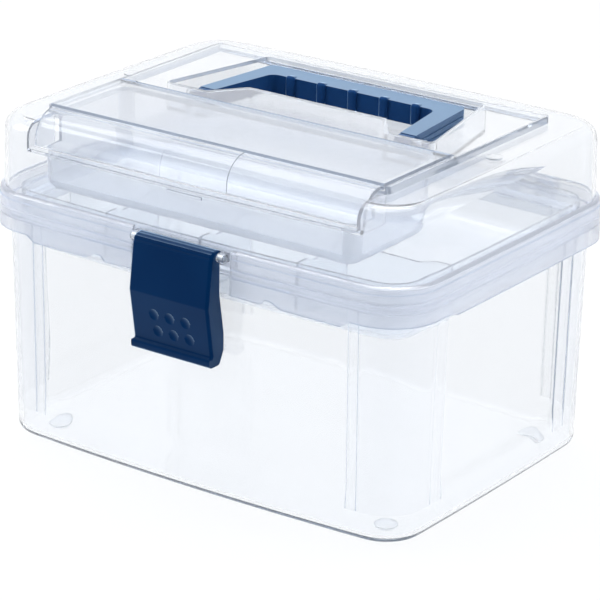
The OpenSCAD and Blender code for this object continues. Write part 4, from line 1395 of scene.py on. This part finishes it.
def finger_rib(x, low_z):
    """One rib: a rounded band on the grip's inner face that runs out on its top"""
    piece = block(
        "finger_rib",
        (x - RIB_HALF_W, GRIP_FRONT_Y - RIB_OUT, low_z + 0.2 * MM),
        (x + RIB_HALF_W, GRIP_FRONT_Y + RIB_BACK, HANDLE_TOP_Z + RIB_UP),
        round_r=RIB_EDGE_R,
        steps=5,
    )
    front = GRIP_FRONT_Y - RIB_OUT
    reach = RIB_BACK + RIB_OUT

    def run_out(point):
        share = max(0, (point.y - front) / reach - 0.25) / 0.75
        narrow = 1 - 0.5 * share
        drop = 2 * RIB_UP * share if point.z > HANDLE_TOP_Z - 2 * MM else 0
        return Vector((x + (point.x - x) * narrow, point.y, point.z - drop))

    move_points(piece, run_out)
    return piece


def latch_corners(inward):
    """The latch's side view; inward moves its front skin back"""
    foot_y = LATCH_FOLD_Y + LATCH_FOOT_IN
    lip_y = foot_y - 2.2 * MM
    return [
        (LATCH_AXIS_Y - 2.9 * MM + inward, LATCH_TOP_Z - 0.2 * MM - inward, 1.2 * MM),
        (LATCH_AXIS_Y - 5.6 * MM + inward, LATCH_TOP_Z - 2.2 * MM - inward, 1.5 * MM),
        (LATCH_AXIS_Y - 5.4 * MM + inward, LATCH_TOP_Z - 3.6 * MM - inward, 0.4 * MM),
        (LATCH_AXIS_Y - 5.9 * MM + inward, LATCH_TOP_Z - 4.3 * MM - inward, 0.4 * MM),
        (LATCH_FOLD_Y + inward, LATCH_FOLD_Z, 3 * MM),
        (foot_y + inward, LATCH_LOW_Z + LATCH_FOOT_H, 0.8 * MM),
        (lip_y + inward, LATCH_LOW_Z + 4.4 * MM, 1.4 * MM),
        (lip_y + 0.2 * MM + inward, LATCH_LOW_Z + inward, 1.8 * MM),
        (LATCH_SIDE_Y - 3.3 * MM, LATCH_LOW_Z + inward, 2.2 * MM),
        (LATCH_SIDE_Y, LATCH_LOW_Z + 7 * MM, 3 * MM),
        (LATCH_SIDE_Y, LATCH_LOW_Z + 16 * MM, 4 * MM),
        (LATCH_NECK_Y, LATCH_FOLD_Z + 6 * MM, 4 * MM),
        (LATCH_NECK_Y, LATCH_AXIS_Z, 2 * MM),
        (LATCH_AXIS_Y + 2.6 * MM, LATCH_TOP_Z - 0.2 * MM - inward, 1.2 * MM),
    ]


def make_latch(material):
    """The front latch: a folded shell with a barrel, a hook, a rolled lip and six thumb dimples"""
    piece = side_block("latch_shell", latch_corners(0), -LATCH_HALF_W, LATCH_HALF_W, 4)
    edit(piece)
    pick("EDGE", lambda edge: (
        abs(abs(middle(edge).x) - LATCH_HALF_W) < CLOSE
        and abs(edge.verts[0].co.x - edge.verts[1].co.x) < CLOSE
        and middle(edge).y < LATCH_NECK_Y - 1.3 * MM
        and middle(edge).z > LATCH_LOW_Z + 5 * MM
    ))
    bpy.ops.mesh.bevel(offset=LATCH_EDGE_R, segments=4, affect="EDGES")
    close()
    inner_w = LATCH_HALF_W - LATCH_WALL
    back_low = (LATCH_NECK_Y - 2.3 * MM, LATCH_LOW_Z + LATCH_WALL)
    back_high = (LATCH_SIDE_Y + 9.3 * MM, LATCH_AXIS_Z - 5 * MM)
    take(
        piece,
        side_block("latch_room", latch_corners(LATCH_WALL), -inner_w, inner_w, 4),
        bar("latch_back", inner_w, back_low, back_high),
    )
    web_low = (LATCH_AXIS_Y - 5 * MM, LATCH_AXIS_Z)
    hook_low = (LATCH_FOLD_Y + LATCH_WALL / 2, CATCH_LOW_Z - HOOK_GAP - HOOK_T)
    hook_high = (CATCH_FRONT_Y - 0.3 * MM, CATCH_LOW_Z - HOOK_GAP)
    add(
        piece,
        axle("latch_barrel", inner_w + MM, LATCH_AXIS_Y, LATCH_AXIS_Z, LATCH_BARREL_R, 40),
        bar("barrel_web", inner_w + MM, web_low, (LATCH_AXIS_Y, LATCH_TOP_Z - MM)),
        bar("hook", CATCH_HALF_W - MM, hook_low, hook_high),
    )
    tilt = math.atan(LATCH_FOOT_IN / (LATCH_FOLD_Z - LATCH_LOW_Z - LATCH_FOOT_H))
    for row in range(2):
        drop = DIMPLE_DROP + row * DIMPLE_ROW_PITCH
        y = LATCH_FOLD_Y + drop * math.sin(tilt)
        z = LATCH_FOLD_Z - drop * math.cos(tilt)
        for column in (-1, 0, 1):
            take(piece, dimple(column * DIMPLE_PITCH + row * DIMPLE_SHIFT, y, z, tilt))
    take(piece, axle("latch_bore", LATCH_HALF_W + MM, LATCH_AXIS_Y, LATCH_AXIS_Z, LATCH_PIN_R + PIN_PLAY))
    tidy(piece, edge=SOFT_EDGE, steps=3, angle=40)
    wear(piece, material, "latch", "navy_plastic", "front_latch")
    return piece


def dimple(x, y, z, tilt):
    """A shallow round scoop, square to the latch's lower panel"""
    scoop_r = (DIMPLE_R ** 2 + DIMPLE_DEPTH ** 2) / (2 * DIMPLE_DEPTH)
    out = scoop_r - DIMPLE_DEPTH
    bpy.ops.mesh.primitive_uv_sphere_add(
        segments=64,
        ring_count=64,
        radius=scoop_r,
        location=(x, y - out * math.cos(tilt), z - out * math.sin(tilt)),
    )
    return new_piece("dimple")


def make_tray(material):
    """The lift-out tray: a drafted pan that hangs by its flange"""
    piece = outline("tray_pan", TRAY_FLAT_W, TRAY_FLAT_D, TRAY_FLANGE_Z, RIM_CORNER - LEDGE_WALL)
    push(z=TRAY_FLANGE_T)
    inset(TRAY_FLAT_W - TRAY_WALL_W)
    fit(TRAY_WALL_W, TRAY_WALL_D)
    push(z=TRAY_TOP_Z - TRAY_FLANGE_Z - TRAY_FLANGE_T)
    inset(TRAY_WALL)
    push(z=TRAY_LOW_Z + TRAY_WALL - TRAY_TOP_Z)
    fit(TRAY_WALL_W - TRAY_WALL - TRAY_DRAFT, TRAY_WALL_D - TRAY_WALL - TRAY_DRAFT)
    round_edge(TRAY_EDGE_R - TRAY_WALL / 2, 4)
    plate_at(TRAY_FLANGE_Z, DOWN)
    inset(TRAY_FLAT_W - TRAY_WALL_W)
    fit(TRAY_WALL_W, TRAY_WALL_D)
    push(z=TRAY_LOW_Z - TRAY_FLANGE_Z)
    fit(TRAY_WALL_W - TRAY_DRAFT, TRAY_WALL_D - TRAY_DRAFT)
    round_edge(TRAY_EDGE_R, 5)
    close()
    move_points(piece, bowed(TRAY_FLAT_W, TRAY_FLAT_D, RIM_CORNER - LEDGE_WALL, [
        ((TRAY_WALL_W, TRAY_WALL_D), (WALL_END_BOW, WALL_BOW)),
        ((TRAY_FLAT_W, TRAY_FLAT_D), (RIM_END_BOW, RIM_BOW)),
    ]))
    notch_high = (LID_FRONT_Y + LID_WALL + 0.3 * MM, TRAY_FLANGE_Z + TRAY_FLANGE_T + MM)
    take(piece, bar("tray_notch", GAP_HALF_W + 3 * MM, (-RIM_HALF_D, TRAY_FLANGE_Z - MM), notch_high))
    tidy(piece, edge=SOFT_EDGE)
    wear(piece, material, "tray", "frosted_plastic", "lift_out_tray")
    return piece


def wavy_top(rise_w, top_z, axis, rises):
    """A rule that dips a divider's upper edge between its rises"""
    def rule(point):
        if point.z < top_z - MM:
            return point
        nearest = min(abs(point[axis] - place) for place in rises)
        dip = DIVIDER_DIP * ramp(nearest, rise_w, rise_w + DIVIDER_SLOPE)
        return Vector((point.x, point.y, point.z - dip))

    return rule


def make_dividers(material):
    """The long divider and the three short ones, with wavy upper edges"""
    pitch = (SHORT_HIGH.x - SHORT_LOW.x - DIVIDER_T) / 2
    low, high = LONG_LOW + Vector((CLOSE, 0, CLOSE)), LONG_HIGH - Vector((CLOSE, 0, 0))
    long_piece = block("tray_long_divider", low, high)
    rises = [-pitch, 0, pitch, LONG_LOW.x, LONG_HIGH.x]
    shape_divider(long_piece, LONG_LOW, LONG_HIGH, X, 60, wavy_top(9 * MM, LONG_HIGH.z, X, rises))
    tidy(long_piece, edge=THIN_EDGE)
    wear(long_piece, material, "tray", "frosted_plastic", "long_divider")
    short_pieces = []
    for x in (-pitch, 0, pitch):
        low = Vector((x - DIVIDER_T / 2, SHORT_LOW.y + CLOSE, SHORT_LOW.z + CLOSE))
        high = Vector((x + DIVIDER_T / 2, SHORT_HIGH.y - CLOSE, SHORT_HIGH.z))
        piece = block("tray_short_dividers", low, high)
        shape_divider(piece, low, high, Y, 24, wavy_top(7 * MM, high.z, Y, [low.y, high.y]))
        short_pieces.append(piece)
    piece = short_pieces[0]
    for other in short_pieces[1:]:
        choose(piece)
        other.select_set(True)
        bpy.ops.object.join()
    tidy(piece, edge=THIN_EDGE)
    wear(piece, material, "tray", "frosted_plastic", "short_dividers_set")


def shape_divider(piece, low, high, axis, waves, wave):
    """Gives a divider its wavy top, and rounds its lower corners to clear the edge of the tray's floor"""
    round_r = TRAY_EDGE_R - TRAY_WALL / 2
    steps = 5
    turns = [math.pi / 2 * step / steps for step in range(1, steps + 1)]
    edit(piece)
    cut_all(axis, [low[axis] + (high[axis] - low[axis]) * step / waves for step in range(1, waves)])
    close()
    move_points(piece, wave)
    edit(piece)
    cut_all(Z, [low.z + round_r * (1 - math.cos(turn)) for turn in turns])
    close()

    def rule(point):
        below = (low.z + round_r - point.z) / round_r
        if below < 0:
            return point
        room = round_r * (1 - math.sqrt(max(0, 1 - below * below)))
        moved = point.copy()
        moved[axis] = min(max(point[axis], low[axis] + room), high[axis] - room)
        return moved

    move_points(piece, rule)


# How often light may turn inside the clear walls
CLEAR_BOUNCES = 40

# Camera at the photograph's place: angles in degrees, lengths in metres, lens and sensor in millimetres
CAMERA_AZIMUTH = 35.26
CAMERA_ELEVATION = 20.82
CAMERA_ROLL = 1.04
CAMERA_DISTANCE = 1.6625
CAMERA_AIM = Vector((0, 0, 0.1137))
CAMERA_ASIDE = 0.0005
CAMERA_BELOW = 0.03365
CAMERA_LENS = 188.84
SENSOR_WIDTH = 36


def stand(name, data):
    """Puts a camera or a lamp into the scene"""
    thing = bpy.data.objects.new(name, data)
    bpy.context.scene.collection.objects.link(thing)
    return thing


def make_camera():
    azimuth = math.radians(CAMERA_AZIMUTH)
    elevation = math.radians(CAMERA_ELEVATION)
    roll = math.radians(CAMERA_ROLL)
    back = Vector((
        math.sin(azimuth) * math.cos(elevation),
        -math.cos(azimuth) * math.cos(elevation),
        math.sin(elevation),
    ))
    level = Vector((math.cos(azimuth), math.sin(azimuth), 0))
    rise = back.cross(level)
    right = level * math.cos(roll) + rise * math.sin(roll)
    up = rise * math.cos(roll) - level * math.sin(roll)
    camera = stand("camera", bpy.data.cameras.new("camera"))
    camera.data.lens = CAMERA_LENS
    camera.data.sensor_width = SENSOR_WIDTH
    camera.data.clip_start = 0.05
    camera.data.clip_end = 20
    camera.matrix_world = Matrix((right, up, back)).transposed().to_4x4()
    camera.location = CAMERA_AIM + right * CAMERA_ASIDE - up * CAMERA_BELOW + back * CAMERA_DISTANCE
    bpy.context.scene.camera = camera


def aim_lamp(name, place, target, size, power, color):
    data = bpy.data.lights.new(name, "AREA")
    data.shape = "RECTANGLE"
    data.size, data.size_y = size
    data.energy = power
    data.color = color
    lamp = stand(name, data)
    lamp.location = place
    lamp.rotation_euler = (Vector(target) - Vector(place)).to_track_quat("-Z", "Y").to_euler()


def make_lamps():
    target = (0, 0, 0.09)
    aim_lamp("top_softbox", (-0.3, 0.1, 1.5), target, (1.6, 1.2), 14, (1, 1, 1))
    aim_lamp("left_softbox", (-1.5, -0.9, 0.9), target, (0.9, 1.1), 9, (0.97, 0.985, 1))
    aim_lamp("right_softbox", (1.5, 0.2, 0.8), target, (0.8, 1.0), 6, (1, 1, 1))


def make_world():
    """White behind the object and softer towards the camera; the camera itself sees plain white"""
    look = Look("studio", "World")
    bpy.context.scene.world = look.material
    azimuth = math.radians(CAMERA_AZIMUTH)
    away = look.node("VectorMath", {
        0: look.node("TexCoord").outputs["Generated"],
        1: (-math.sin(azimuth), math.cos(azimuth), 0),
    }, operation="DOT_PRODUCT")
    shade = look.node("ValToRGB", {"Fac": look.value(away.outputs["Value"]) * 0.5 + 0.5})
    stops = ((0.25, (0.42, 0.50, 0.60, 1)), (0.62, (1, 1, 1, 1)))
    for stop, (place, color) in zip(shade.color_ramp.elements, stops):
        stop.position = place
        stop.color = color
    sky = look.shader("Background", {"Color": shade.outputs["Color"]})
    plain = look.shader("Background", {"Color": (1, 1, 1, 1)})
    seen = look.node("LightPath").outputs["Is Camera Ray"]
    look.surface(look.mix_shader(seen, sky, plain))


def make_floor():
    """A pale floor that shows white and keeps a soft shadow"""
    bpy.ops.mesh.primitive_plane_add(size=6, location=(0, 0, 0))
    floor = bpy.context.object
    floor.name = "floor"
    look = Look("floor_white")
    paper = look.shader("BsdfPrincipled", {
        "Base Color": look.mix_color(look.noise(3, 2.0), (0.86, 0.87, 0.89, 1), (0.88, 0.89, 0.90, 1)),
        "Roughness": 0.9,
    })
    glow = look.shader("Emission", {"Color": (1, 1, 1, 1), "Strength": 1.0})
    path = look.node("LightPath")
    camera, glossy, through = (
        look.value(path.outputs["Is " + ray + " Ray"]) for ray in ("Camera", "Glossy", "Transmission")
    )
    seen = camera + glossy + through
    share = seen.math("MULTIPLY", seen, 0.8, clamp=True)
    look.surface(look.mix_shader(share, paper, glow))
    floor.data.materials.append(look.material)


def set_render():
    scene = bpy.context.scene
    scene.view_settings.view_transform = "Standard"
    scene.cycles.max_bounces = CLEAR_BOUNCES
    scene.cycles.transmission_bounces = CLEAR_BOUNCES
    scene.cycles.transparent_max_bounces = CLEAR_BOUNCES
    scene.cycles.glossy_bounces = 8
    scene.cycles.caustics_reflective = False
    scene.cycles.caustics_refractive = True


clear = clear_plastic("clear_moulding", (0.985, 0.992, 1.0, 1), 0.045, 8)
frosted = clear_plastic("tray_moulding", (0.965, 0.98, 0.995, 1), 0.13, 12)
navy = navy_plastic("navy_moulding", (0.0004, 0.015, 0.064, 1), (0.0008, 0.023, 0.084, 1))
# Painted light: the grip gets a lighter copy of the latch's navy plastic, for the brighter light that it
# catches on top of the lid
lit_navy = navy_plastic("navy_grip_lit", (0.008, 0.040, 0.135, 1), (0.012, 0.052, 0.16, 1))
steel = pin_steel("brushed_pin")
foot = foot_rubber("foot_rubber")

make_bin(clear)
make_lid(clear)
make_tub(frosted)
make_well(clear)
make_flap(clear)
make_handle(lit_navy)
make_latch(navy)
make_tray(frosted)
make_dividers(frosted)

for name in ("lid_hinge_pins", "latch_pin", "flap_hinge_pins"):
    dress(name, steel)
dress("bin_feet", foot)

make_floor()
make_world()
make_lamps()
make_camera()
set_render()
